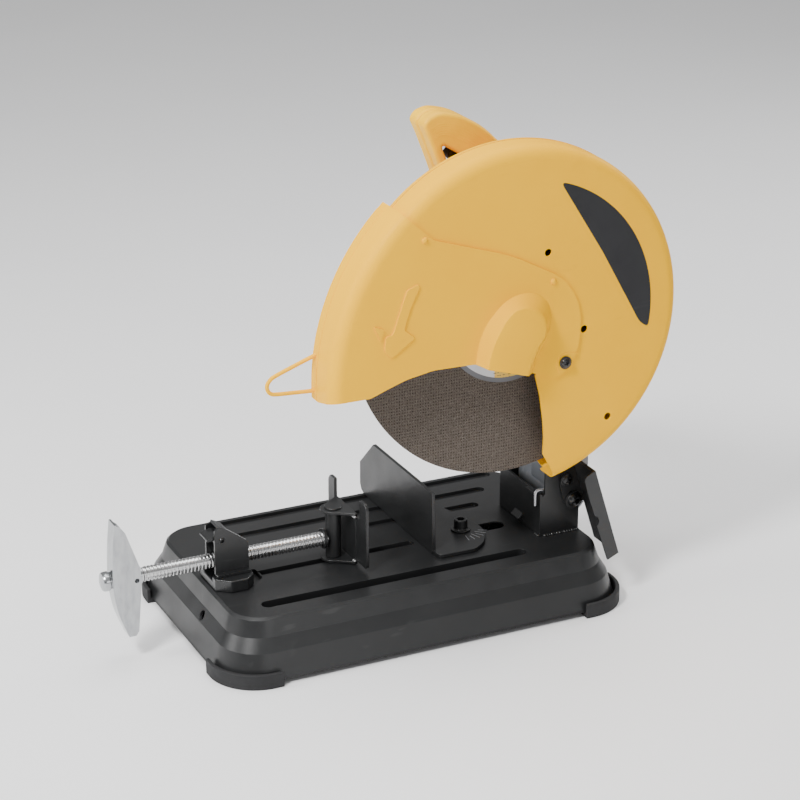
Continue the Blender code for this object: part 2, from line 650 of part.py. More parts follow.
def arm():
    """The casting that carries the head: a barrel on the pivot, a web, and bearing seats."""
    web = arc((PIVOT_Y, PIVOT_Z), 20, -150, 20, 8)
    web += [(203, 138), (203, 152), (196, 230), (188, 300)]
    web += arc((MOTOR_Y, MOTOR_Z), 57, -10, 100, 8)
    web += arc((WHEEL_Y, WHEEL_Z), 47, 100, 230, 8)
    web += [(112, 235), (156, 140)]
    shape = prism(web, "X", 30, 58)
    hollow = [(165, 150), (190, 150), (180, 235), (160, 280), (118, 285)]
    shape = less(shape, prism(hollow, "X", 44, 62), disc(26, "X", PIVOT_Y, PIVOT_Z, 46, 70, 32))
    root = prism([(158, 112), (196, 112), (200, 150), (158, 150)], "X", 10, 42)
    shape = joined(shape, root, disc(20, "X", PIVOT_Y, PIVOT_Z, -19, 44.5, 32),
                   disc(13.5, "X", PIVOT_Y, PIVOT_Z, 40, 64, 24))
    return less(shape, disc(6.4, "X", PIVOT_Y, PIVOT_Z, -25, 70, 20),
                disc(8.6, "X", WHEEL_Y, WHEEL_Z, 20, 70, 24),
                disc(16.4, "X", WHEEL_Y, WHEEL_Z, 44, 70, 24),
                disc(8.6, "X", MOTOR_Y, MOTOR_Z, 20, 70, 24),
                disc(14.4, "X", MOTOR_Y, MOTOR_Z, 20, 40, 24))


def motor_housing():
    profile = [(47, 29.7), (58, 29.7), (58, 10), (56, 4), (56, -70), (52, -80), (52, -95), (49, -95),
               (49, -78), (52.5, -68), (52.5, 4), (54, 10), (47, 24)]
    shape = turned(profile, "X", MOTOR_Y, MOTOR_Z, 36)
    for end in (-1, 1):
        shape = less(shape, disc(8.3, "Z", -84, MOTOR_Y, MOTOR_Z + end * 45 - 15, MOTOR_Z + end * 45 + 15, 20))
    return shape


def motor_end_cap():
    profile = [(0, -128), (30, -128), (44, -123), (51, -112), (51, -95.3), (48, -95.3), (48, -111),
               (42, -119.5), (14.4, -122), (14.4, -108), (11.4, -108), (11.4, -124), (0, -124)]
    shape = turned(profile, "X", MOTOR_Y, MOTOR_Z, 36)
    for k in range(10):
        angle = math.tau * (k + 0.5) / 10
        u, v = MOTOR_Y + 34 * math.cos(angle), MOTOR_Z + 34 * math.sin(angle)
        if k != 7:
            shape = less(shape, disc(4, "X", u, v, -135, -110, 8))
    return less(shape, disc(7.3, "X", MOTOR_Y, MOTOR_Z - 34, -135, -110, 16))


def armature():
    profile = [(0, -121), (5, -121), (5, -94), (14, -94), (14, -78), (6, -78), (6, -66), (34.5, -66),
               (34.5, 0), (6, 0), (6, 8), (44, 10), (44, 18), (6, 18), (6, 56), (4.5, 56), (4.5, 76), (0, 76)]
    return turned(profile, "X", MOTOR_Y, MOTOR_Z, 24)


def spindle():
    profile = [(0, 34), (8, 34), (8, 77), (14, 77), (14, 85.7), (12.4, 85.7), (12.4, 98), (5.4, 98),
               (5.4, 78), (0, 78)]
    return turned(profile, "X", WHEEL_Y, WHEEL_Z, 24)


def arbor_bolt():
    shank = disc(5, "X", WHEEL_Y, WHEEL_Z, 79, 108, 16)
    head = prism([(WHEEL_Y + a, WHEEL_Z + b) for a, b in hexagon(9.8)], "X", 107, 115)
    return joined(head, shank)


def bearing(inner, outer, u, v, low, high):
    return ring(inner, outer, "X", u, v, low, high, 20)


def build_head(head, spin, motor_spin, cover_turn, paints):
    yellow, grey, dark, bright, black, stone = (paints[k] for k in (
        "yellow", "grey", "dark", "bright", "black", "stone"))
    node("arm", arm(), grey, head)
    node("gear_case", gear_case(), grey, head)
    node("guard_near_half", guard_near_half(), yellow, head)
    node("guard_far_half", guard_far_half(), yellow, head)
    node("guard_cover", guard_cover(), yellow, cover_turn)
    node("cover_loop", cover_loop(), yellow, cover_turn)
    screw = turned([(0, 133.3), (7, 133.3), (7, 137), (6, 138.5), (3, 138.5), (3, 135.5), (0, 135.5)],
                   "X", 127.6, 296.4, 20)
    node("cover_screw", screw, dark, cover_turn)

    half = WHEEL_THICK / 2
    near = WHEEL_X + half
    node("spindle", spindle(), bright, spin)
    node("drive_gear", gear(GEAR_TEETH, 35.3, 38.3, WHEEL_Y, WHEEL_Z, 62, 74, 8.4, 0.5), bright, spin)
    node("inner_flange", turned([(14.4, 86), (38, 86), (40, 88), (40, 93.1), (34, 93.1), (32, 92), (12.9, 92),
                                 (12.9, 87)], "X", WHEEL_Y, WHEEL_Z, 32), bright, spin)
    wheel = ring(BORE_R, WHEEL_R, "X", WHEEL_Y, WHEEL_Z, WHEEL_X - half, near, 72)
    node("abrasive_wheel", wheel, stone, spin)
    label = ring(BORE_R + 0.5, 75, "X", WHEEL_Y, WHEEL_Z, near + GAP, near + 0.7, 48)
    node("wheel_label", label, paints["label"], spin)
    node("outer_flange", turned([(6, 104), (34, 104), (38, 101), (38, near + 1.0), (32, near + 1.0),
                                 (30, 98.6), (6, 98.6)], "X", WHEEL_Y, WHEEL_Z, 32), bright, spin)
    washer = ring(5.4, 12, "X", WHEEL_Y, WHEEL_Z, 104 + GAP, 106.6, 24)
    node("arbor_washer", washer, bright, spin)
    node("arbor_bolt", arbor_bolt(), dark, spin)
    node("spindle_bearing", bearing(8.4, 16, WHEEL_Y, WHEEL_Z, 44.4, 56), bright, head)

    node("motor_housing", motor_housing(), black, head)
    node("motor_end_cap", motor_end_cap(), black, head)
    node("stator", ring(36, 52, "X", MOTOR_Y, MOTOR_Z, -60, -4, 32), bright, head)
    node("armature", armature(), bright, motor_spin)
    pinion = gear(PINION_TEETH, 6.4, 9.5, MOTOR_Y, MOTOR_Z, 60, 75, 4.8, 0.5)
    node("motor_pinion", pinion, bright, motor_spin)
    node("front_motor_bearing", bearing(6.3, 14, MOTOR_Y, MOTOR_Z, 31, 39.6), bright, head)
    node("rear_motor_bearing", bearing(5.3, 11.1, MOTOR_Y, MOTOR_Z, -119, -109), bright, head)
    for label_end, end in (("top", 1), ("bottom", -1)):
        cap = turned([(0, MOTOR_Z + end * 53), (8, MOTOR_Z + end * 53), (8, MOTOR_Z + end * 38),
                      (0, MOTOR_Z + end * 38)], "Z", -84, MOTOR_Y, 20)
        node(f"brush_cap_{label_end}", cap, dark, head)
    gland = turned([(0, -116), (7, -116), (7, -129), (9.5, -130), (8, -150), (4, -150), (4, -120), (0, -120)],
                   "X", MOTOR_Y, MOTOR_Z - 34, 16)
    node("cord_gland", gland, dark, head)
    button = turned([(0, 389), (4.5, 389), (4.5, 396), (7, 396), (7, 402), (0, 402)], "Z", 70, WHEEL_Y, 20)
    return button


# ---------------------------------------------------------------- handle

def handle_half(low, high):
    """One moulded half of the D-handle, with its foot on the arm."""
    outer = [(2, 545), (8, 553), (21, 557), (44, 552), (71, 537), (96, 513), (114, 486), (124, 455),
             (124, 404.5), (108, 404.5), (60, 404.5), (44, 430), (36, 455), (24, 492), (9, 530)]
    grip = rounded(prism(outer, "X", low, high), 4)
    hole = [(31, 518), (52, 504), (80, 482), (93, 462), (96, 446), (66, 440), (52, 448), (36, 492)]
    grip = less(grip, prism(hole, "X", low - 10, high + 10))
    pocket = [(40, 524), (66, 509), (60, 494), (32, 508)]
    return less(grip, prism(pocket, "X", HANDLE_X - 7.5, HANDLE_X + 7.5))


def trigger():
    outline = [(44, 516), (62, 506), (58, 492), (50, 494), (38, 503), (36, 509)]
    return prism(outline, "X", HANDLE_X - 7, HANDLE_X + 7)


# ---------------------------------------------------------------- assembly

def main():
    clear_scene()
    steel = paint("black_painted_steel", (0.035, 0.037, 0.038), 0.45)
    dark = paint("dark_steel", (0.02, 0.02, 0.022), 0.4, 0.4)
    rubber = paint("rubber", (0.03, 0.03, 0.03), 0.8)
    zinc = paint("zinc_plate", (0.55, 0.56, 0.58), 0.35, 0.9)
    bright = paint("bright_steel", (0.7, 0.71, 0.73), 0.25, 1.0)
    chrome = paint("chrome", (0.85, 0.86, 0.88), 0.08, 1.0)
    paints = {"yellow": paint("yellow_paint", (0.9, 0.52, 0.02), 0.35),
              "grey": paint("grey_casting", (0.3, 0.32, 0.34), 0.5, 0.3),
              "black": paint("black_plastic", (0.02, 0.02, 0.022), 0.5),
              "stone": paint("abrasive", (0.13, 0.105, 0.085), 0.95),
              "label": paint("label_paper", (0.6, 0.6, 0.6), 0.7),
              "dark": dark, "bright": bright}

    root = empty("saw", (0, 0, 0), None)
    head = empty("head_pivot", (0, PIVOT_Y, PIVOT_Z), root)
    spin = empty("spindle_axis", (WHEEL_X, WHEEL_Y, WHEEL_Z), head)
    motor_spin = empty("motor_axis", (0, MOTOR_Y, MOTOR_Z), head)
    cover_turn = empty("cover_axis", (WHEEL_X, WHEEL_Y, WHEEL_Z), head)
    lock = empty("lock_button_axis", (70, WHEEL_Y, 396), head)
    trigger_turn = empty("trigger_axis", (HANDLE_X, 59, 503), head)
    slide = empty("vice_slide", (VICE_X, TUBE_Y, SCREW_Z), root)
    screw_turn = empty("screw_axis", (VICE_X, -312, SCREW_Z), slide)
    jaw_turn = empty("jaw_axis", (VICE_X, TUBE_Y, SCREW_Z), slide)
    lever = empty("half_nut_axis", (VICE_X, NUT_PIN_Y, NUT_PIN_Z), root)
    fence_turn = empty("fence_axis", (FENCE_BOLT_X, FENCE_BOLT_Y, DECK_Z), root)

    build_base(root, steel, rubber)
    build_rear(root, steel, dark, zinc)
    build_vice(root, slide, screw_turn, jaw_turn, lever, steel, dark, bright, chrome)
    node("fence", fence(), steel, fence_turn)
    node("fence_bolt", fence_bolt(), dark, root)
    button = build_head(head, spin, motor_spin, cover_turn, paints)
    node("lock_button", button, dark, lock)
    split = HANDLE_X - GAP / 2
    node("handle_left", handle_half(HANDLE_X - HANDLE_HALF, split), paints["yellow"], head)
    node("handle_right", handle_half(split + GAP, HANDLE_X + HANDLE_HALF), paints["yellow"], head)
    node("trigger", trigger(), dark, trigger_turn)

    stand_on_origin(root)


def stand_on_origin(root):
    """Moves the whole saw so that the middle of its box's bottom is the origin."""
    bpy.context.view_layer.update()
    corners = [o.matrix_world @ v.co for o in bpy.data.objects if o.type == "MESH" for v in o.data.vertices]
    low = [min(c[i] for c in corners) for i in range(3)]
    high = [max(c[i] for c in corners) for i in range(3)]
    root.location = (-(low[0] + high[0]) / 2, -(low[1] + high[1]) / 2, -low[2])
    print("origin shift", [round(c, 6) for c in root.location])
    print("box", [round(c, 5) for c in low], [round(c, 5) for c in high])


main()
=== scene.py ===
"""Looks for the abrasive chop saw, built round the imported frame.

Shapes are drawn in millimetres in the base's own frame (x = 0 and y = 0 at the middle of the deck
pattern) and SHIFT_Y moves them into the CAD frame, whose origin is the middle of the saw's box.
"""

import math

import bmesh
import bpy
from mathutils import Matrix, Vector


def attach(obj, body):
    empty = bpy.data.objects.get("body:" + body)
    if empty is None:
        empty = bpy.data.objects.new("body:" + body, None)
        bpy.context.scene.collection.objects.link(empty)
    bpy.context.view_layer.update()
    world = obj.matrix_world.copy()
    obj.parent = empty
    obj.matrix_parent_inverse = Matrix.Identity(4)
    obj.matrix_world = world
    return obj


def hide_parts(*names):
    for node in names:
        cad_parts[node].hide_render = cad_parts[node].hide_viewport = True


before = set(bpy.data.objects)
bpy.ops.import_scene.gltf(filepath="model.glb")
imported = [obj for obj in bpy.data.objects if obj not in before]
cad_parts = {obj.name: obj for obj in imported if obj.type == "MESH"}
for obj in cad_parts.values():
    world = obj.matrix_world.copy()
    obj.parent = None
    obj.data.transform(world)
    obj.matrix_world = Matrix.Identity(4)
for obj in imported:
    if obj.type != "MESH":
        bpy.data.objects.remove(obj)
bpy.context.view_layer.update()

MM = 0.001
SHIFT_Y = 44.0

BASE_HALF_X = 147.0
BASE_FRONT_Y, BASE_REAR_Y = -261.5, 211.0
BASE_CORNER = 50.0
RIM_Z, DECK_Z, SHEET = 6.0, 67.5, 2.0
WALL_STEPS = ((0, 0), (1, 2), (8, 28), (16, 42), (20, 55.5), (21.2, 59), (24, 61.5))

WHEEL_X, WHEEL_Y, WHEEL_Z = 95.0, 79.0, 346.0
WHEEL_R, WHEEL_THICK, BORE_R = 177.5, 3.2, 12.7
GUARD_Y, GUARD_Z, GUARD_R = 77.0, 345.0, 188.5
GUARD_LAP_X, GUARD_NEAR_X = 97.0, 130.0
COVER_Y, COVER_Z, COVER_R = 110.8, 297.4, 250.0
COVER_FAR_X, COVER_NEAR_X, HUMP_X = 82.0, 132.3, 148.0
LOOP_X = 88.0
MOTOR_Y, MOTOR_Z = 125.0, 346.0
PIVOT_Y, PIVOT_Z = 177.5, 106.5
HANDLE_X, HANDLE_HALF = 31.0, 19.0

BRACKET_LEFT_X, BRACKET_RIGHT_X = -25.4, 69.5
BRACKET_FRONT_Y, BRACKET_REAR_Y = 137.0, 186.0
PLATE, FOLD, GAP = 3.0, 2.5, 0.3

VICE_X, SCREW_Z, SCREW_R, SCREW_LEAD = 22.5, 93.5, 8.0, 4.0
NUT_PIN_Y, NUT_PIN_Z, SADDLE_HALF = -224.7, 121.0, 14.5
TUBE_Y, TUBE_R = -91.0, 8.5
JAW_TOP_Z, FLANGE_TOP_Z, FLANGE_LOW_Z = 147.0, 128.0, 68.4
FENCE_Y, FENCE_TOP_Z = 10.2, 139.0
FENCE_BOLT_X, FENCE_BOLT_Y = 24.0, 62.5
EAR_Y, EAR_Z = 168.3, 131.4
STOP_X, STOP_Y = 0, 152
LUG_R, LUG_TURNS = 46, (110, 180, 250)
BRUSH_X, LOCK_X, GLAND_DROP = -84, 70, 34


# ---------------------------------------------------------------- shapes

def solid(points, faces):
    """An object from points in millimetres, with its normals facing out."""
    mesh = bpy.data.meshes.new("shape")
    mesh.from_pydata([(Vector(p) + Vector((0, SHIFT_Y, 0))) * MM for p in points], [], faces)
    work = bmesh.new()
    work.from_mesh(mesh)
    bmesh.ops.recalc_face_normals(work, faces=work.faces)
    work.to_mesh(mesh)
    work.free()
    shape = bpy.data.objects.new("shape", mesh)
    bpy.context.scene.collection.objects.link(shape)
    return shape


def place(axis, u, v, along):
    """A point from its two coordinates across an axis and its coordinate along it."""
    if axis == "X":
        return (along, u, v)
    if axis == "Y":
        return (u, along, v)
    return (u, v, along)


def prism(outline, axis, low, high):
    """A flat outline extruded along an axis: (y, z) for X, (x, z) for Y, (x, y) for Z."""
    count = len(outline)
    points = [place(axis, u, v, low) for u, v in outline]
    points += [place(axis, u, v, high) for u, v in outline]
    faces = [tuple(range(count)), tuple(range(2 * count - 1, count - 1, -1))]
    for i in range(count):
        j = (i + 1) % count
        faces.append((i, j, count + j, count + i))
    return solid(points, faces)


def turned(profile, axis, u, v, sides=64):
    """A profile of (radius, along) turned about an axis; a radius of 0 closes it on the axis."""
    points, rings = [], []
    for radius, along in profile:
        if radius == 0:
            rings.append([len(points)])
            points.append(place(axis, u, v, along))
            continue
        rings.append(list(range(len(points), len(points) + sides)))
        for k in range(sides):
            angle = math.tau * k / sides
            points.append(place(axis, u + radius * math.cos(angle), v + radius * math.sin(angle), along))
    pairs = list(zip(rings, rings[1:]))
    if profile[0][0] and profile[-1][0]:
        pairs.append((rings[-1], rings[0]))
    faces = []
    for first, second in pairs:
        for k in range(sides):
            n = (k + 1) % sides
            if len(first) == 1 and len(second) == 1:
                continue
            if len(first) == 1:
                faces.append((first[0], second[k], second[n]))
            elif len(second) == 1:
                faces.append((first[k], second[0], first[n]))
            else:
                faces.append((first[k], second[k], second[n], first[n]))
    return solid(points, faces)


def disc(radius, axis, u, v, low, high, sides=64):
    return turned([(0, low), (radius, low), (radius, high), (0, high)], axis, u, v, sides)


def ring(inner, outer, axis, u, v, low, high, sides=64):
    return turned([(inner, low), (outer, low), (outer, high), (inner, high)], axis, u, v, sides)


def block(low, high):
    (x0, y0, z0), (x1, y1, z1) = low, high
    return prism([(x0, y0), (x1, y0), (x1, y1), (x0, y1)], "Z", z0, z1)


def swept(path, radius, sides=16):
    """A round wire along a path of points, with flat ends."""
    path = [Vector(p) for p in path]
    count = len(path)
    points, faces = [], []
    normal = None
    for i, point in enumerate(path):
        tangent = (path[min(i + 1, count - 1)] - path[max(i - 1, 0)]).normalized()
        if normal is None:
            normal = tangent.orthogonal().normalized()
        normal = (normal - tangent * normal.dot(tangent)).normalized()
        side = tangent.cross(normal)
        for k in range(sides):
            angle = math.tau * k / sides
            points.append(point + radius * (math.cos(angle) * normal + math.sin(angle) * side))
    for i in range(count - 1):
        for k in range(sides):
            n = (k + 1) % sides
            a, b = i * sides, (i + 1) * sides
            faces.append((a + k, b + k, b + n, a + n))
    faces.append(tuple(range(sides)))
    faces.append(tuple(range((count - 1) * sides, count * sides)))
    return solid(points, faces)


def combine(shape, other, operation):
    """Applies an exact Boolean to the first shape and removes the second."""
    modifier = shape.modifiers.new("boolean", "BOOLEAN")
    modifier.operation = operation
    modifier.object = other
    bpy.context.view_layer.update()
    graph = bpy.context.evaluated_depsgraph_get()
    result = bpy.data.meshes.new_from_object(shape.evaluated_get(graph))
    shape.modifiers.clear()
    shape.data = result
    bpy.data.objects.remove(other, do_unlink=True)
    return shape


def joined(shape, *others):
    for other in others:
        combine(shape, other, "UNION")
    return shape


def less(shape, *others):
    for other in others:
        combine(shape, other, "DIFFERENCE")
    return shape


def within(shape, mask):
    return combine(shape, mask, "INTERSECT")


def gathered(shape, *others):
    """Puts several shapes into one object with no Boolean, for beads, ribs and teeth that may overlap."""
    work = bmesh.new()
    for each in (shape, *others):
        work.from_mesh(each.data)
    work.to_mesh(shape.data)
    work.free()
    for other in others:
        bpy.data.objects.remove(other, do_unlink=True)
    return shape


def arc(centre, radius, start, end, steps=16):
    """Points on a circle from one angle to another, in degrees."""
    u, v = centre
    angles = [math.radians(start + (end - start) * i / steps) for i in range(steps + 1)]
    return [(u + radius * math.cos(a), v + radius * math.sin(a)) for a in angles]


def stadium(u0, v0, u1, v1, radius, steps=16):
    """The outline of a slot with round ends between two centres."""
    heading = math.degrees(math.atan2(v1 - v0, u1 - u0))
    return (arc((u1, v1), radius, heading - 90, heading + 90, steps)
            + arc((u0, v0), radius, heading + 90, heading + 270, steps))


def filleted(outline, radius, steps=5):
    """An outline with each corner replaced by a curve that starts a radius away from it."""
    points = [Vector(p) for p in outline]
    count = len(points)
    result = []
    for i, corner in enumerate(points):
        before, after = points[i - 1], points[(i + 1) % count]
        into, out = before - corner, after - corner
        reach = min(radius, into.length * 0.45, out.length * 0.45)
        start, end = corner + into.normalized() * reach, corner + out.normalized() * reach
        for k in range(steps + 1):
            t = k / steps
            result.append(tuple((1 - t) ** 2 * start + 2 * t * (1 - t) * corner + t * t * end))
    return result


def smoothed(points, steps=6):
    """A smooth curve through points in space, ends included."""
    points = [Vector(p) for p in points]
    result = []
    for i in range(len(points) - 1):
        p0 = points[max(i - 1, 0)]
        p1, p2 = points[i], points[i + 1]
        p3 = points[min(i + 2, len(points) - 1)]
        for k in range(steps):
            t = k / steps
            result.append(0.5 * (2 * p1 + (p2 - p0) * t + (2 * p0 - 5 * p1 + 4 * p2 - p3) * t * t
                                 + (3 * p1 - p0 - 3 * p2 + p3) * t ** 3))
    return result + [points[-1]]


def pan_outline(inset, steps=14):
    """The base's plan outline, drawn in by an inset."""
    radius = max(BASE_CORNER - inset * 0.6, 4)
    right = BASE_HALF_X - inset - radius
    rear = BASE_REAR_Y - inset - radius
    front = BASE_FRONT_Y + inset + radius
    corners = ((right, rear, 0), (-right, rear, 90), (-right, front, 180), (right, front, 270))
    return [p for x, y, turn in corners for p in arc((x, y), radius, turn, turn + 90, steps)]


def hexagon(u, v, radius):
    return arc((u, v), radius, 0, 300, 5)


def spun(u, v, turn, outline):
    """An outline turned by an angle in radians about its origin, which moves to (u, v)."""
    c, s = math.cos(turn), math.sin(turn)
    return [(u + a * c - b * s, v + a * s + b * c) for a, b in outline]


def bands(first, last, count):
    """Faces that join each row of points to the next, from one row's number to another's."""
    return [(i * count + k, i * count + (k + 1) % count,
             (i + 1) * count + (k + 1) % count, (i + 1) * count + k)
            for i in range(first, last) for k in range(count)]


# ---------------------------------------------------------------- materials

class Surface:
    """Builds one procedural material: colour variation, roughness, fine bump and scuffs."""

    def __init__(self, name, roughness, metallic=0.0, coat=0.0, specular=0.5):
        self.material = bpy.data.materials.new(name)
        self.material.use_nodes = True
        self.tree = self.material.node_tree
        self.shader = self.tree.nodes["Principled BSDF"]
        self.shader.inputs["Metallic"].default_value = metallic
        self.shader.inputs["Roughness"].default_value = roughness
        self.shader.inputs["Coat Weight"].default_value = coat
        self.shader.inputs["Coat Roughness"].default_value = 0.15
        self.shader.inputs["Specular IOR Level"].default_value = specular
        self.coords = self.add("ShaderNodeTexCoord").outputs["Object"]

    def add(self, kind, **values):
        made = self.tree.nodes.new(kind)
        for key, value in values.items():
            setattr(made, key, value)
        return made

    def link(self, output, target):
        self.tree.links.new(output, target)

    def stretched(self, scale):
        mapping = self.add("ShaderNodeMapping")
        mapping.inputs["Scale"].default_value = scale
        self.link(self.coords, mapping.inputs["Vector"])
        return mapping.outputs["Vector"]

    def noise(self, scale, detail=4.0, stretch=None):
        made = self.add("ShaderNodeTexNoise")
        made.inputs["Scale"].default_value = scale
        made.inputs["Detail"].default_value = detail
        self.link(self.stretched(stretch) if stretch else self.coords, made.inputs["Vector"])
        return made.outputs["Fac"]

    def ramp(self, factor, stops):
        made = self.add("ShaderNodeValToRGB")
        elements = made.color_ramp.elements
        while len(elements) < len(stops):
            elements.new(0.5)
        for element, (position, colour) in zip(elements, stops):
            element.position = position
            element.color = (*colour, 1.0)
        self.link(factor, made.inputs["Fac"])
        return made.outputs["Color"]

    def mix(self, factor, first, second):
        made = self.add("ShaderNodeMix", data_type="RGBA")
        self.link(factor, made.inputs["Factor"])
        self.link(first, made.inputs[6])
        if isinstance(second, tuple):
            made.inputs[7].default_value = (*second, 1.0)
        else:
            self.link(second, made.inputs[7])
        return made.outputs[2]

    def span(self, value, low, high, to_low, to_high):
        made = self.add("ShaderNodeMapRange")
        for key, number in (("From Min", low), ("From Max", high), ("To Min", to_low), ("To Max", to_high)):
            made.inputs[key].default_value = number
        self.link(value, made.inputs["Value"])
        return made.outputs["Result"]

    def math(self, operation, first, second=None):
        made = self.add("ShaderNodeMath", operation=operation)
        for socket, value in zip(made.inputs, (first, second)):
            if value is None:
                continue
            if isinstance(value, (int, float)):
                socket.default_value = value
            else:
                self.link(value, socket)
        return made.outputs[0]

    def scuffs(self, amount):
        """Sparse fine scratches and rubbed spots, from 0 to an amount."""
        lines = self.span(self.noise(150, 2, (1, 0.12, 0.5)), 0.66, 0.72, 0, 1)
        spots = self.span(self.noise(30, 6), 0.6, 0.75, 0, 0.6)
        both = self.math("MAXIMUM", lines, spots)
        patches = self.span(self.noise(9, 3), 0.45, 0.65, 0, 1)
        return self.math("MULTIPLY", self.math("MULTIPLY", both, patches), amount)

    def bump(self, height, strength, distance):
        made = self.add("ShaderNodeBump")
        made.inputs["Strength"].default_value = strength
        made.inputs["Distance"].default_value = distance
        self.link(height, made.inputs["Height"])
        self.link(made.outputs["Normal"], self.shader.inputs["Normal"])

    def colour(self, output):
        self.link(output, self.shader.inputs["Base Color"])

    def rough(self, output, low, high):
        self.link(self.span(output, 0.3, 0.7, low, high), self.shader.inputs["Roughness"])


def shade(colour, factor):
    return tuple(min(c * factor, 1.0) for c in colour)


def painted(name, colour, rough, grain, bump, wear, coat=0.0, spread=0.12, specular=0.5, scuffed=0.5):
    """Sprayed or powder-coated metal: slight mottling, orange peel and a few scuffs."""
    made = Surface(name, rough[0], coat=coat, specular=specular)
    base = made.ramp(made.noise(14, 5), [(0.3, shade(colour, 1 - spread)), (0.7, shade(colour, 1 + spread))])
    made.colour(made.mix(made.scuffs(scuffed), base, wear))
    made.rough(made.noise(40, 6), *rough)
    made.bump(made.noise(grain, 3), bump, 0.0004)
    return made.material


def machined(name, colour, rough, stretch, metallic=1.0):
    """Bare or plated metal with fine drawn or turned marks."""
    made = Surface(name, rough[0], metallic=metallic)
    streaks = made.noise(60, 6, stretch)
    made.colour(made.ramp(streaks, [(0.3, shade(colour, 0.82)), (0.7, shade(colour, 1.1))]))
    made.rough(streaks, *rough)
    made.bump(streaks, 0.12, 0.0002)
    return made.material


def moulded(name, colour, rough, grain=900, bump=0.25):
    """Moulded plastic or rubber with a fine texture and slightly lighter rubbed spots."""
    made = Surface(name, rough[0], specular=0.25)
    base = made.ramp(made.noise(22, 4), [(0.3, shade(colour, 0.88)), (0.7, shade(colour, 1.12))])
    made.colour(made.mix(made.scuffs(0.5), base, shade(colour, 1.6)))
    made.rough(made.noise(70, 5), *rough)
    made.bump(made.noise(grain, 2), bump, 0.0002)
    return made.material


def abrasive():
    """Resin-bonded grit over a woven mesh: rows of small dark cells on a brown-grey ground."""
    made = Surface("abrasive", 0.92, specular=0.2)
    split = made.add("ShaderNodeSeparateXYZ")
    made.link(made.coords, split.inputs[0])
    cells = []
    for output, pitch in ((split.outputs["Y"], 0.0030), (split.outputs["Z"], 0.0034)):
        wobble = made.math("MULTIPLY", made.noise(45, 2), 0.0011)
        phase = made.math("MULTIPLY", made.math("ADD", output, wobble), math.tau / pitch)
        cells.append(made.span(made.math("SINE", phase), -0.1, 0.75, 0, 1))
    pits = made.math("MULTIPLY", *cells)
    pits = made.math("MULTIPLY", pits, made.span(made.noise(220, 3), 0.38, 0.6, 0.25, 1))
    ground = made.ramp(made.noise(800, 5), [(0.3, (0.062, 0.05, 0.041)), (0.55, (0.125, 0.104, 0.087)),
                                            (0.8, (0.23, 0.2, 0.17))])
    broad = made.mix(made.span(made.noise(9, 3), 0.3, 0.7, 0, 0.35), ground, (0.1, 0.084, 0.07))
    made.colour(made.mix(pits, broad, (0.016, 0.013, 0.011)))
    height = made.math("SUBTRACT", made.math("MULTIPLY", made.noise(1100, 3), 0.5), pits)
    made.bump(height, 0.8, 0.0006)
    return made.material


def label_paper():
    """The wheel's paper label: white, with a yellow sector and faint generic print."""
    made = Surface("label_paper", 0.6)
    split = made.add("ShaderNodeSeparateXYZ")
    made.link(made.coords, split.inputs[0])
    past = made.math("SUBTRACT", split.outputs["Y"], (WHEEL_Y + SHIFT_Y - 16) * MM)
    sector = made.math("GREATER_THAN", past, 0.0)
    white = made.ramp(made.noise(30, 4), [(0.3, (0.62, 0.64, 0.68)), (0.7, (0.74, 0.76, 0.8))])
    base = made.mix(sector, white, (0.86, 0.55, 0.09))
    lines = made.math("SINE", made.math("MULTIPLY", split.outputs["Z"], math.tau / 0.0032))
    ink = made.math("MULTIPLY", made.span(lines, 0.5, 0.9, 0, 1),
                    made.span(made.noise(420, 1, (1, 1, 0.25)), 0.5, 0.56, 0, 1))
    ink = made.math("MULTIPLY", ink, made.span(made.noise(35, 1), 0.5, 0.55, 0, 1))
    made.colour(made.mix(ink, base, (0.05, 0.05, 0.055)))
    made.rough(made.noise(60, 4), 0.5, 0.7)
    made.bump(made.noise(1200, 2), 0.1, 0.0001)
    return made.material


YELLOW = (1.0, 0.5, 0.0)
PAINTS = {
    "black": painted("black_painted_steel", (0.014, 0.0145, 0.015), (0.3, 0.4), 1500, 0.1,
                     (0.04, 0.04, 0.04)),
    "dark": painted("dark_steel", (0.01, 0.0105, 0.011), (0.26, 0.38), 900, 0.2,
                    (0.05, 0.05, 0.05), coat=0.1),
    "yellow": painted("yellow_paint", YELLOW, (0.36, 0.46), 700, 0.04, (0.8, 0.36, 0.02),
                      spread=0.02, specular=0.05, scuffed=0.25),
    "grey": painted("grey_casting", (0.2, 0.215, 0.24), (0.42, 0.58), 500, 0.4, (0.42, 0.43, 0.45)),
    "handle": moulded("yellow_plastic", YELLOW, (0.42, 0.56), 1400, 0.12),
    "plastic": moulded("black_plastic", (0.02, 0.02, 0.022), (0.45, 0.6)),
    "rubber": moulded("rubber", (0.024, 0.024, 0.025), (0.62, 0.8), 700, 0.35),
    "zinc": machined("zinc_plate", (0.5, 0.51, 0.53), (0.28, 0.42), (1, 4, 4)),
    "bright": machined("bright_steel", (0.62, 0.62, 0.63), (0.2, 0.36), (1, 12, 12)),
    "screw": machined("screw_steel", (0.6, 0.6, 0.6), (0.18, 0.3), (1, 30, 1)),
    "chrome": machined("chrome", (0.42, 0.43, 0.44), (0.1, 0.24), (3, 3, 1), 0.95),
    "weld": machined("weld_metal", (0.3, 0.3, 0.3), (0.3, 0.5), (1, 1, 1), 0.8),
    "stone": abrasive(),
    "paper": label_paper(),
    "blotter": moulded("grey_blotter", (0.16, 0.165, 0.18), (0.6, 0.75)),
}


# ---------------------------------------------------------------- pieces

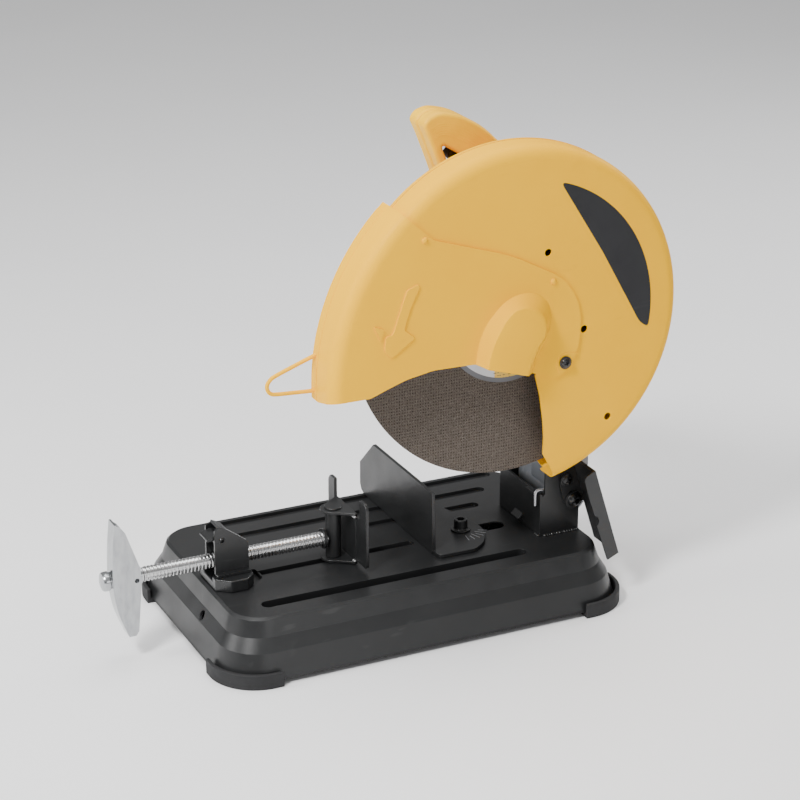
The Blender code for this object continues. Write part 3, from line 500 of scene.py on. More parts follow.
def piece(name, shape, body, paint, node=None, bevel=0.0, segments=3, angle=30, clamp=True):
    """Names a shape, softens its edges, gives it a material and puts it on its body."""
    shape.name = name
    shape.data.name = name
    work = bmesh.new()
    work.from_mesh(shape.data)
    bmesh.ops.remove_doubles(work, verts=work.verts, dist=0.5e-5)
    if bevel:
        bmesh.ops.dissolve_limit(work, angle_limit=math.radians(0.6), verts=work.verts, edges=work.edges)
    work.to_mesh(shape.data)
    work.free()
    shape.data.shade_smooth()
    shape.data.set_sharp_from_angle(angle=math.radians(38))
    if bevel:
        soft = shape.modifiers.new("bevel", "BEVEL")
        soft.width = bevel * MM
        soft.segments = segments
        soft.limit_method = "ANGLE"
        soft.angle_limit = math.radians(angle)
        soft.use_clamp_overlap = clamp
        soft.harden_normals = True
    shape.data.materials.clear()
    shape.data.materials.append(PAINTS[paint])
    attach(shape, body)
    if node:
        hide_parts(node)
    return shape


# ---------------------------------------------------------------- base

def base_pan():
    rings = [[(x, y, RIM_Z + rise) for x, y in pan_outline(inset)] for inset, rise in WALL_STEPS]
    inner = [[(x, y, RIM_Z + max(rise - SHEET, 0)) for x, y in pan_outline(inset + SHEET)]
             for inset, rise in reversed(WALL_STEPS)]
    rows = rings + inner
    count = len(rows[0])
    points = [p for row in rows for p in row]
    faces = [tuple(range((len(rings) - 1) * count, len(rings) * count))]
    faces.append(tuple(range(len(rings) * count, (len(rings) + 1) * count)))
    faces += bands(0, len(rings) - 1, count) + bands(len(rings), len(rows) - 1, count)
    last = (len(rows) - 1) * count
    for k in range(count):
        n = (k + 1) % count
        faces.append((last + k, last + n, n, k))
    pan = solid(points, faces)
    for x, front, rear in ((-111, -178, 162), (-75, -170, 136), (-39, -162, 110)):
        pan = joined(pan, prism(stadium(x, front, x, rear, 8.5), "Z", DECK_Z - 6, DECK_Z - 1))
        pan = less(pan, prism(stadium(x, front, x, rear, 6.5), "Z", DECK_Z - 4, DECK_Z + 1))
    for x, front, rear, radius, depth in ((WHEEL_X, -197, 99, 7.5, 14), (VICE_X, -190, 0, 5.5, 5)):
        pan = joined(pan, prism(stadium(x, front, x, rear, radius + 2), "Z", DECK_Z - depth - SHEET,
                                DECK_Z - SHEET / 2))
        pan = less(pan, prism(stadium(x, front, x, rear, radius), "Z", DECK_Z - depth, DECK_Z + 1))
    pocket = filleted([(8, -200), (40, -200), (40, -182), (34, -176), (8, -176)], 5)
    pan = joined(pan, prism(pocket, "Z", DECK_Z - 7, DECK_Z - 1))
    inside = filleted([(10, -198), (38, -198), (38, -183), (33, -178), (10, -178)], 4)
    pan = less(pan, prism(inside, "Z", DECK_Z - 5, DECK_Z + 1))
    slot = prism(stadium(21, 45, 21, 108, 9.5), "Z", 40, 90)
    bore = disc(5, "Y", 38, 40, BASE_FRONT_Y - 5, BASE_FRONT_Y + 20)
    return less(pan, slot, bore)


def foot(side, end):
    outer, inner = pan_outline(-5), pan_outline(20)
    leg = 58.0
    end_y = BASE_REAR_Y if end > 0 else BASE_FRONT_Y
    band = prism(outer, "Z", 0, 17)
    band = less(band, prism(inner, "Z", -1, 20), prism(pan_outline(-0.8), "Z", RIM_Z - GAP, 30))
    x_in, y_in = side * (BASE_HALF_X - leg), end_y - end * leg
    far_x, far_y = side * 200, end_y + end * 60
    return within(band, block((min(x_in, far_x), min(y_in, far_y), -5),
                              (max(x_in, far_x), max(y_in, far_y), 40)))


def beads(path, radius, pitch):
    """A row of overlapping weld beads along a path of points."""
    points = [Vector(p) for p in path]
    shapes = []
    for start, end in zip(points, points[1:]):
        count = max(int((end - start).length / pitch), 1)
        for k in range(count):
            x, y, z = start.lerp(end, (k + 0.5) / count)
            size = radius * (1 + 0.18 * math.sin(2.3 * k + x))
            profile = [(size * math.sin(math.pi * i / 6), z + 0.75 * size * math.cos(math.pi * i / 6))
                       for i in range(7)]
            profile[0], profile[-1] = (0, profile[0][1]), (0, profile[-1][1])
            shapes.append(turned(profile, "Z", x, y, 10))
    return gathered(*shapes)


def build_base():
    piece("visual_base_pan", base_pan(), "base", "black", "base_pan", 1.4, 3, 9)
    for label, side, end in (("front_right", 1, -1), ("front_left", -1, -1),
                             ("rear_right", 1, 1), ("rear_left", -1, 1)):
        piece(f"visual_foot_{label}", foot(side, end), "base", "rubber", f"foot_{label}", 1.2, 3)


# ---------------------------------------------------------------- rear bracket

def rear_bracket():
    floor = DECK_Z + GAP
    left, right = BRACKET_LEFT_X, BRACKET_RIGHT_X
    front, rear = BRACKET_FRONT_Y, BRACKET_REAR_Y
    wall = prism([(left, floor), (right, floor), (right, 118), (left, 118)], "Y", front, front + PLATE)
    lip = prism([(front - 4, 115.4), (front + 2, 115.4), (front + 2, 118), (front - 4, 118)], "X", 42, 60)
    side = [(front, floor), (rear, floor), (rear, 140), (178, 152), (150, 152), (143, 146), (143, 117),
            (front, 113)]
    plates = [prism(side, "X", left, left + PLATE), prism(side, "X", right - PLATE, right)]
    window = block((12.4, front - 5, 70), (30.2, front + 8, 79))
    tab = prism([(front + 2, 82), (front - 6, 74), (front - 4, 72), (front + 2, 78)], "X", 12.4, 30.2)
    holes = [disc(6.4, "X", PIVOT_Y, PIVOT_Z, left - 5, right + 5),
             disc(3.4, "X", EAR_Y, EAR_Z, right - 10, right + 5)]
    return joined(less(joined(wall, lip, *plates), window, *holes), tab)


def spark_deflector():
    ear_x, right = BRACKET_RIGHT_X + GAP, 120.0
    web = [(173.9, 158), (206.7, 54), (209.2, 55), (176.5, 159)]
    ear = [(160, 126), (165.7, 103), (191.2, 103), (192.5, 105), (176.5, 156), (166, 154)]
    flange = [(176.3, 159), (209, 55), (195.7, 49), (180.5, 92.4)]
    flange += [(182.3, 94.6), (183, 98), (182.2, 101.6), (180.2, 104.2), (177.8, 104.8)]
    flange += [(176.4, 108), (169.7, 127.4), (163.7, 148.6), (164.2, 151.4), (166.5, 154)]
    shape = joined(prism(web, "X", ear_x, right), prism(filleted(ear, 4), "X", ear_x, ear_x + FOLD),
                   prism(flange, "X", right - FOLD, right))
    return less(shape, disc(3.4, "X", EAR_Y, EAR_Z, ear_x - 5, ear_x + 8),
                disc(6.6, "X", PIVOT_Y, PIVOT_Z, ear_x - 5, ear_x + 8))


def pan_head_screw(u, v, seat, tip, radius, head_radius, head_height):
    """A screw along X with a washer face and a domed, cross-recessed head at its +X end."""
    top = seat + head_height
    profile = [(0, tip), (radius, tip), (radius, seat), (head_radius, seat), (head_radius, seat + 1),
               (head_radius * 0.8, seat + 1.2)]
    profile += [(head_radius * 0.8 * math.cos(math.radians(a)),
                 seat + 1.2 + (head_height - 1.2) * math.sin(math.radians(a))) for a in (20, 40, 60, 75)]
    shape = turned(profile + [(0, top)], "X", u, v, 48)
    for turn in (20, 110):
        long, thin = head_radius * 0.42, head_radius * 0.1
        cross = spun(u, v, math.radians(turn), [(-long, -thin), (long, -thin), (long, thin), (-long, thin)])
        shape = less(shape, prism(cross, "X", top - head_height * 0.6, top + 2))
    return shape


def return_spring():
    turns, steps, radius, wire = 4, 32, 19.0, 1.8
    start_x, pitch = 48.0, 4.1
    coil = []
    for i in range(turns * steps + 1):
        angle = math.pi / 2 + math.tau * i / steps
        coil.append((start_x + pitch * i / steps, PIVOT_Y + radius * math.cos(angle),
                     PIVOT_Z + radius * math.sin(angle)))
    end_x = coil[-1][0]
    leg = [(end_x, 172, PIVOT_Z + radius), (end_x, 160, PIVOT_Z + radius - 1), (end_x, 145, 121.5),
           (end_x, 137, 121.6), (end_x, 134.2, 119.5), (end_x, 133.4, 115), (end_x, 133.2, 104)]
    return swept(coil + smoothed(leg, 5)[1:], wire, 12)


def build_rear():
    piece("visual_rear_bracket", rear_bracket(), "base", "black", "rear_bracket", 0.7, 3)
    piece("visual_spark_deflector", spark_deflector(), "base", "black", "spark_deflector", 0.6, 2)
    face = BRACKET_RIGHT_X + 2 * GAP + FOLD
    piece("visual_deflector_screw", pan_head_screw(EAR_Y, EAR_Z, face, 62, 3, 8, 4.5), "base", "dark",
          "deflector_screw")
    piece("visual_pivot_bolt", pan_head_screw(PIVOT_Y, PIVOT_Z, face, -38, 6, 10.5, 6), "base", "dark",
          "pivot_bolt")
    outer = BRACKET_LEFT_X - GAP
    locknut = less(joined(prism(hexagon(PIVOT_Y, PIVOT_Z, 10), "X", outer - 7, outer),
                          ring(6.5, 8, "X", PIVOT_Y, PIVOT_Z, outer - 8, outer - 5)),
                   disc(6.3, "X", PIVOT_Y, PIVOT_Z, outer - 12, outer + 4))
    piece("visual_pivot_nut", locknut, "base", "zinc", "pivot_nut", 0.6)
    stop = joined(disc(4, "Z", STOP_X, STOP_Y, DECK_Z + GAP, 90),
                  prism(hexagon(STOP_X, STOP_Y, 7.5), "Z", 89, 96))
    piece("visual_depth_stop_bolt", stop, "base", "zinc", "depth_stop_bolt", 0.6)
    nut = less(prism(hexagon(STOP_X, STOP_Y, 7.5), "Z", 76, 82),
               disc(4.3, "Z", STOP_X, STOP_Y, 70, 90))
    piece("visual_depth_stop_nut", nut, "base", "zinc", "depth_stop_nut", 0.6)
    piece("visual_return_spring", return_spring(), "base", "zinc", "return_spring")
    floor = DECK_Z + 0.6
    welds = beads([(BRACKET_RIGHT_X + 0.6, 142, floor), (BRACKET_RIGHT_X + 0.6, 186, floor)], 2.4, 3.0)
    more = beads([(BRACKET_LEFT_X - 0.6, 142, floor), (BRACKET_LEFT_X - 0.6, 186, floor)], 2.4, 3.0)
    front = beads([(60, BRACKET_FRONT_Y - 0.6, floor), (69, BRACKET_FRONT_Y - 0.6, floor)], 2.4, 2.6)
    piece("bracket_welds", gathered(welds, more, front), "base", "black")


# ---------------------------------------------------------------- vice

def vice_bracket():
    left, right = VICE_X - SADDLE_HALF, VICE_X + SADDLE_HALF
    near = [(-232.7, 81.5), (-194.9, 81.5), (-194.9, 110), (-196.7, 116.5), (-220.2, 134), (-226.2, 136.2),
            (-232.2, 133.8), (-232.7, 128.4)]
    far = [(-232.7, 81.5), (-194.9, 81.5), (-194.9, 96), (-216, 126), (-226.2, 132), (-232.2, 130),
           (-232.7, 127)]
    shape = joined(prism(filleted(near, 2), "X", right - PLATE, right),
                   prism(filleted(far, 2), "X", left, left + PLATE))
    strip = [(-197.2, 115), (-219.6, 132.4), (-221.4, 130), (-199, 112.6)]
    bridge = [(-216, 129.8), (-226, 134.5), (-227, 132.3), (-217, 127.4)]
    shape = joined(shape, prism(strip, "X", right - 8, right - 1), prism(bridge, "X", left + 1, right - 1))
    lip = filleted([(-232.7, 81.5), (-194.9, 81.5), (-195.5, 84.5), (-232, 84.5)], 1.2)
    shape = joined(shape, prism(lip, "X", left - 5, left + 1), prism(lip, "X", right - 1, right + 6))
    return less(shape, disc(3.3, "X", NUT_PIN_Y, NUT_PIN_Z, left - 9, right + 9))


def vice_pedestal():
    outline = [(VICE_X - 24, -236), (VICE_X + 21, -236), (VICE_X + 33, -222), (VICE_X + 33, -203),
               (VICE_X + 23, -193), (VICE_X - 24, -193)]
    shape = prism(outline, "Z", DECK_Z + GAP, 81.2)
    return less(shape, block((VICE_X - 12, -240, 76), (VICE_X + 12, -190, 90)))


def half_nut():
    side = [(-229.5, 114), (-220, 106), (-217, 95.5), (-202, 95.5), (-202, 106), (-220, 124.5), (-228, 126.6),
            (-240, 123.4), (-240, 120.4), (-230, 121)]
    body = prism(filleted(side, 1.5), "X", VICE_X - 11, VICE_X + 11)
    return less(body, disc(SCREW_R + GAP, "Y", VICE_X, SCREW_Z, -240, -190),
                disc(3.4, "X", NUT_PIN_Y, NUT_PIN_Z, 0, 50))


def threaded(start, end):
    """The screw's thread as one strip wound round its core."""
    steps = 28
    profile = ((0.0, -0.85), (0.3, -0.85), (0.5, 0.0), (0.8, 0.0))
    points, rows = [], []
    turns = int((end - start) / SCREW_LEAD)
    for i in range(turns * steps + 1):
        angle = math.tau * i / steps
        row = []
        for share, depth in profile:
            y = start + SCREW_LEAD * (i / steps + share)
            radius = SCREW_R + depth
            row.append(len(points))
            points.append((VICE_X + radius * math.sin(angle), min(max(y, start), end),
                           SCREW_Z + radius * math.cos(angle)))
        rows.append(row)
    faces = []
    for i in range(len(rows) - 1):
        for k in range(3):
            faces.append((rows[i][k], rows[i][k + 1], rows[i + 1][k + 1], rows[i + 1][k]))
        if i + steps < len(rows) - 1:
            faces.append((rows[i][3], rows[i + steps][0], rows[i + steps + 1][0], rows[i + 1][3]))
    return solid(points, faces)


def vice_screw():
    start, end = -312.0, TUBE_Y - TUBE_R - 1.0
    core = [(0, start), (7.0, start), (7.0, end - 1), (4.5, end - 1), (4.5, TUBE_Y - 4), (0, TUBE_Y - 4)]
    return gathered(threaded(start + 0.5, end - 1.5), turned(core, "Y", VICE_X, SCREW_Z, 40))


def crank():
    """A winged handle folded from sheet: a curved back strip and two webs that taper to its tips."""
    reach, z = 65.0, SCREW_Z
    back = smoothed([(-339.5, z + reach, 0), (-342.2, z + 40, 0), (-343.6, z + 14, 0), (-343.4, z - 10, 0),
                     (-338.5, z - 38, 0), (-328.5, z - reach, 0)], 8)
    back = [(p[0], p[1]) for p in back]
    web = back + [(-321, z - reach), (-317.6, z - reach + 5), (-313, z - 8), (-313, z + 10),
                  (-328, z + reach - 11), (-331.5, z + reach - 6)]
    inside = [(y + 2.2, v) for y, v in reversed(back)]
    shape = joined(prism(back + inside, "X", VICE_X - 9, VICE_X + 9),
                   prism(web, "X", VICE_X + 7.2, VICE_X + 9),
                   prism(web, "X", VICE_X - 9, VICE_X - 7.2), disc(9, "Y", VICE_X, z, -343, -311))
    return less(shape, disc(2.6, "X", -317.5, z - 2, VICE_X + 2, VICE_X + 10))


def crank_hub():
    profile = [(0, -354), (6.5, -354), (9.2, -353.2), (10.3, -351.6), (10.5, -349.5), (10.5, -346.5),
               (9.0, -345.2), (9.0, -344.3), (0, -344.3)]
    return turned(profile, "Y", VICE_X, SCREW_Z)


def jaw():
    left, right = VICE_X - 48, VICE_X + 52
    low, top, notch = 72.5, JAW_TOP_Z, 124.0
    face = [(left, low), (right - 3, low), (right, low + 3), (right, top - 5), (right - 5, top),
            (right - 18, top), (right - 18, notch), (left + 17, notch), (left + 17, top),
            (left + 5, top), (left, top - 6)]
    plate = prism(filleted(face, 2.5), "Y", -75.5, -72.0)
    ear = [(VICE_X + 26, -76.5)] + arc((VICE_X, TUBE_Y), 14, -10, -170, 28) + [(VICE_X - 26, -76.5)]
    ear += [(VICE_X - 26, -74), (VICE_X + 26, -74)]
    upper = prism(ear, "Z", FLANGE_TOP_Z - PLATE, FLANGE_TOP_Z)
    lower = prism(ear, "Z", FLANGE_LOW_Z, FLANGE_LOW_Z + PLATE)
    web = block((VICE_X - 26, -76.5, FLANGE_LOW_Z + 1), (VICE_X + 26, -74, FLANGE_TOP_Z - 1))
    shape = joined(plate, web, upper, lower)
    return less(shape, disc(TUBE_R - 1.2, "Z", VICE_X, TUBE_Y, 60, 140))


def pivot_tube():
    inner, outer = FLANGE_LOW_Z + PLATE + GAP, FLANGE_TOP_Z - PLATE - GAP
    neck = TUBE_R - 1.6
    profile = [(0, FLANGE_LOW_Z), (neck, FLANGE_LOW_Z), (neck, inner), (TUBE_R - 0.4, inner),
               (TUBE_R, inner + 0.4), (TUBE_R, outer - 0.4), (TUBE_R - 0.4, outer), (neck, outer),
               (neck, FLANGE_TOP_Z + GAP), (TUBE_R + 1, FLANGE_TOP_Z + GAP), (TUBE_R + 1, FLANGE_TOP_Z + 1.4),
               (TUBE_R + 0.4, FLANGE_TOP_Z + 2), (0, FLANGE_TOP_Z + 2)]
    return turned(profile, "Z", VICE_X, TUBE_Y)


def build_vice():
    piece("visual_vice_bracket", vice_bracket(), "base", "dark", "vice_bracket", 0.9, 3)
    piece("visual_vice_pedestal", vice_pedestal(), "base", "dark", "vice_pedestal", 1.2, 3)
    piece("visual_half_nut", half_nut(), "half_nut", "dark", "half_nut_lever", 0.8, 2)
    near, far = VICE_X + SADDLE_HALF + 1, VICE_X - SADDLE_HALF - 1
    pin = turned([(0, far), (2.6, far), (3, far + 0.5), (3, near - 0.5), (2.6, near), (2.2, near),
                  (1.8, near - 2.5), (0, near - 2.5)], "X", NUT_PIN_Y, NUT_PIN_Z)
    piece("visual_nut_pin", pin, "base", "dark", "nut_pin")
    piece("visual_vice_screw", vice_screw(), "vice_screw", "screw", "vice_screw")
    piece("visual_crank", crank(), "vice_screw", "chrome", "crank", 0.6, 3)
    piece("visual_crank_rivet", crank_hub(), "vice_screw", "chrome", "crank_rivet")
    piece("visual_jaw_tube", pivot_tube(), "vice_carriage", "black", "jaw_pivot_tube")
    collar = turned([(SCREW_R + GAP, -104.5), (SCREW_R + 2.6, -104.5), (SCREW_R + 3, -104.1),
                     (SCREW_R + 3, -101.5), (SCREW_R + GAP, -101.5)], "Y", VICE_X, SCREW_Z)
    piece("visual_screw_collar", collar, "vice_carriage", "dark", "screw_collar")
    piece("visual_vice_jaw", jaw(), "vice_jaw", "black", "vice_jaw", 0.7, 3)
    near, far = VICE_X + 22, VICE_X - 22
    welds = [beads([(x, -77.0, z), (x + 5, -77.0, z)], 1.9, 2.2)
             for x in (near, far) for z in (FLANGE_TOP_Z - 4, FLANGE_LOW_Z + 4)]
    piece("jaw_welds", gathered(*welds), "vice_jaw", "weld")


# ---------------------------------------------------------------- fence

def fence():
    floor = DECK_Z + GAP + 0.1
    face = [(58, floor), (60, floor + 2), (57, FENCE_TOP_Z), (-94, FENCE_TOP_Z), (-130.5, 104.5),
            (-130.5, floor + 10), (-127, floor + 3), (-120, floor)]
    plate = prism(face, "Y", FENCE_Y, FENCE_Y + 4)
    foot_line = [(60, FENCE_Y + 1), (70, FENCE_Y + 1), (74, FENCE_Y + 5), (74.5, 56), (64, 70.5), (51, 79.5),
                 (37, 85.5), (23, 87), (0, 82.5), (-26, 75.5), (-74, 61), (-90, FENCE_Y + 3),
                 (-90, FENCE_Y + 1)]
    shape = joined(plate, prism(filleted(foot_line, 5), "Z", floor, floor + 4))
    return less(shape, disc(5.4, "Z", FENCE_BOLT_X, FENCE_BOLT_Y, floor - 5, floor + 8),
                disc(3.2, "Z", 27, 25, floor + 2, floor + 8))


def scale_marks():
    """Radial ticks on the fence's foot, one for each step of its angle scale."""
    top = DECK_Z + GAP + 4.1
    marks = []
    for k, turn in enumerate((-8, 6, 20, 34, 48, 62)):
        inner, outer = (19, 29) if k % 2 else (16, 29)
        line = [(inner, -0.45), (outer, -0.45), (outer, 0.45), (inner, 0.45)]
        marks.append(prism(spun(FENCE_BOLT_X, FENCE_BOLT_Y, math.radians(turn), line),
                           "Z", top - 0.3, top + 0.06))
    return gathered(*marks)


def fence_bolt():
    seat = DECK_Z + GAP + 0.1 + 4 + GAP
    profile = [(0, 50), (5, 50), (5, seat), (10.6, seat), (11, seat + 0.4), (11, seat + 1.6),
               (10.6, seat + 2), (8.2, seat + 2.2), (7.6, seat + 3), (7.5, seat + 12.2),
               (6.8, seat + 13), (0, seat + 13)]
    shape = turned(profile, "Z", FENCE_BOLT_X, FENCE_BOLT_Y)
    return less(shape, prism(hexagon(FENCE_BOLT_X, FENCE_BOLT_Y, 4.6), "Z", seat + 7, seat + 20))


def build_fence():
    piece("visual_fence", fence(), "fence", "black", "fence", 0.6, 3)
    piece("fence_scale", scale_marks(), "fence", "zinc")
    piece("visual_fence_bolt", fence_bolt(), "base", "dark", "fence_bolt", 0.3, 2)


# ---------------------------------------------------------------- wheel guard

def dish(centre, radius, far_x, near_x, edge, sheet=2.0, sides=240):
    """A drum open on one face, with a rounded corner between its wall and its near face."""
    outer, inner = [], []
    for step in range(11):
        angle = math.radians(90 * step / 10)
        outer.append((radius - edge + edge * math.sin(angle), near_x - edge + edge * math.cos(angle)))
        tight = edge - sheet
        inner.append((radius - edge + tight * math.sin(angle), near_x - edge + tight * math.cos(angle)))
    profile = [(0, near_x)] + outer + [(radius, far_x), (radius - sheet, far_x)]
    profile += list(reversed(inner)) + [(0, near_x - sheet)]
    return turned(profile, "X", *centre, sides)


def guard_near_half():
    shape = dish((GUARD_Y, GUARD_Z), GUARD_R, GUARD_LAP_X + GAP, GUARD_NEAR_X, 14)
    opening = [(-170, 560), (-66, 486), (-24, 440), (55, 410), (100, 392)]
    opening += arc((WHEEL_Y, WHEEL_Z), 52, 58, -66, 24)
    opening += [(94, 286), (100, 262), (104.4, 234), (106, 214), (105.4, 195.3), (118, 171.5), (128, 140),
                (-170, 140)]
    shape = less(shape, prism(opening, "X", 90, 140))
    return less(shape, *[disc(4, "X", y, z, 120, 140) for y, z in ((106, 419), (151, 329), (183, 225))])


def guard_far_half():
    edge = [(189 - 12 + 12 * math.sin(math.radians(a)), 96 - 12 * math.cos(math.radians(a)))
            for a in range(0, 91, 9)]
    inner = [(187 - 10 + 10 * math.sin(math.radians(a)), 96 - 10 * math.cos(math.radians(a)))
             for a in range(90, -1, -9)]
    profile = [(43, 84)] + edge + [(189, 97), (187, 97)] + inner + [(43, 86)]
    shape = turned(profile, "X", GUARD_Y, GUARD_Z, 240)
    opening = [(-170, 296), (-60, 296), (10, 296), (50, 288), (70, 250), (92, 205), (124, 168),
               (134, 140), (-170, 140)]
    return less(shape, prism(filleted(opening, 12), "X", 80, 100))


def cover_region():
    """The outline of the swinging cover, seen along the wheel's axis."""
    edge = [(-190, 520), (-90, 520), (-55, 477), (-26, 450.8), (12, 438.6), (50.7, 426.4), (73, 417),
            (95, 405.4), (115.4, 394.5), (126, 386), (136, 373), (142.4, 360),
            (145.3, 345), (145, 323), (144, 313),
            (139, 302), (133.9, 292.5), (129.3, 286.6), (122.3, 281.5), (115, 281), (88, 291), (23, 310.9),
            (4.7, 311.5), (-25.7, 312), (-56, 306.8), (-78, 299.6), (-93, 294), (-130, 284), (-190, 284)]
    return prism(filleted(edge, 4, 3), "X", 70, 160)


def pear(scale_about, shrink, spread):
    """The bulge's outline; spread goes from 0 at its foot to 1 at its plateau."""
    base = [(20, 292), (23, 311), (25, 326), (29.5, 341), (36, 353), (44, 362.6), (54, 372), (65.7, 377.8),
            (78.4, 379.7), (90, 377.5), (99.6, 371.8), (107, 362), (109.6, 350.6), (108.7, 340), (105.5, 329),
            (94, 310), (88.5, 292), (87, 272)]
    top = [(27, 292), (29.7, 312.6), (32.4, 325), (36, 335.4), (41.8, 346.5), (48.4, 357.4), (56.3, 365.4),
           (64.3, 369), (74.7, 368.8), (84, 365), (91.3, 358.5), (96, 349), (96.6, 340), (94, 333),
           (87.5, 323), (79.2, 303.6), (77, 292), (76, 272)]
    line = [Vector((*b, 0)).lerp(Vector((*t, 0)), spread) for b, t in zip(base, top)]
    line = smoothed(line, 5)
    middle = Vector((*scale_about, 0))
    return [tuple(middle + (p - middle) * shrink)[:2] for p in line]


def hump(base_x, top_x, shrink):
    """The bulge over the arbor, its foot and its rim rounded."""
    middle = (66, 335)
    rise = top_x - base_x
    levels = [(-0.12, base_x), (0.0, base_x + 0.08 * rise), (0.16, base_x + 0.24 * rise),
              (0.5, base_x + 0.5 * rise), (0.82, base_x + 0.76 * rise), (0.93, base_x + 0.9 * rise),
              (1.06, base_x + 0.975 * rise),
              (1.25, top_x)]
    rows = [[(x, y, z) for y, z in pear(middle, shrink, spread)] for spread, x in levels]
    count = len(rows[0])
    points = [p for row in rows for p in row]
    last = (len(rows) - 1) * count
    faces = [tuple(range(count)), tuple(range(last, last + count))]
    return solid(points, faces + bands(0, len(rows) - 1, count))


def guard_cover():
    shell = dish((COVER_Y, COVER_Z), COVER_R, COVER_FAR_X, COVER_NEAR_X, 14, sides=360)
    shell = less(joined(shell, hump(COVER_NEAR_X - 1, HUMP_X, 1.0)), hump(COVER_NEAR_X - 5, HUMP_X - 2, 0.94))
    shell = within(shell, cover_region())
    slant = prism([(95, 280), (134, 280), (134, 293.5), (95, 283.5)], "Y", -200, -80)
    return less(shell, slant)


def raised(outline, x, height, radius):
    """A low raised shape on a face that looks along +X."""
    return prism(filleted(outline, radius), "X", x - 0.6, x + height)


def dome(y, z, x, radius):
    profile = [(0, x - 1), (radius, x - 1), (radius, x)]
    profile += [(radius * math.cos(math.radians(a)), x + 0.8 * radius * math.sin(math.radians(a)))
                for a in (15, 30, 45, 60, 75)]
    return turned(profile + [(0, x + 0.8 * radius)], "X", y, z, 32)


def build_guard():
    piece("visual_guard_near", guard_near_half(), "head", "yellow", "guard_near_half", 0.5, 2)
    piece("visual_guard_far", guard_far_half(), "head", "yellow", "guard_far_half", 0.5, 2)
    piece("visual_guard_cover", guard_cover(), "guard_cover", "yellow", "guard_cover", 0.6, 3)
    wire = [(LOOP_X, y, z) for y, z in ((-132, 333.8), (-138.6, 331.5), (-160, 324), (-181, 316.3),
                                        (-187, 312.6), (-190.3, 307.5), (-189.8, 302), (-186.5, 298),
                                        (-180, 296.4), (-160, 295), (-140.4, 293.8), (-134, 293.4))]
    piece("visual_cover_loop", swept(smoothed(wire, 5), 2.1), "guard_cover", "yellow", "cover_loop")
    arrow = [(-56, 403), (-43.5, 407.5), (-41.3, 404.4), (-51.5, 384), (-58.9, 361), (-46.2, 351.3),
             (-72.9, 332.6), (-81.1, 341.7), (-79.6, 357), (-72, 358)]
    tip = [(-92.8, 369.8), (-81, 365.2), (-84.7, 352.3)]
    piece("cover_arrow", raised(arrow, COVER_NEAR_X, 1.6, 3), "guard_cover", "yellow", None, 0.7, 3)
    piece("cover_arrow_tip", raised(tip, COVER_NEAR_X, 1.6, 2), "guard_cover", "yellow", None, 0.6, 3)
    bosses = gathered(dome(-35.9, 452.1, COVER_NEAR_X, 3.4), dome(111.4, 388, COVER_NEAR_X, 3.4))
    piece("cover_bosses", bosses, "guard_cover", "yellow")
    lap = arc((COVER_Y, COVER_Z), COVER_R + 0.45, 134.5, 183, 90)
    lap += arc((COVER_Y, COVER_Z), COVER_R - 0.6, 183, 134.5, 90)
    piece("cover_lap", prism(lap, "X", COVER_FAR_X, 94.5), "guard_cover", "yellow", None, 0.3, 2)
    around = [(143.6, 304), (128.7, 307.8), (121, 304.6), (117.6, 297), (118.6, 290), (122.5, 283.2),
              (129, 287.4), (134, 293.4), (139, 302)]
    piece("cover_tab", raised(around, COVER_NEAR_X, 0.5, 3), "guard_cover", "yellow", None, 0.4, 2)
    piece("visual_cover_screw", pan_head_screw(127.6, 296.4, 133.3, 131, 3, 7, 4.2), "guard_cover", "dark",
          "cover_screw")
    badge = arc((WHEEL_Y, WHEEL_Z), 152, 75, -10, 12)
    badge += [(218, 327), (171, 410)]
    piece("guard_badge", prism(filleted(badge, 9, 6), "X", GUARD_NEAR_X - 0.2, GUARD_NEAR_X + 0.4), "head",
          "plastic", None, 0.2, 2)


# ---------------------------------------------------------------- wheel and spindle

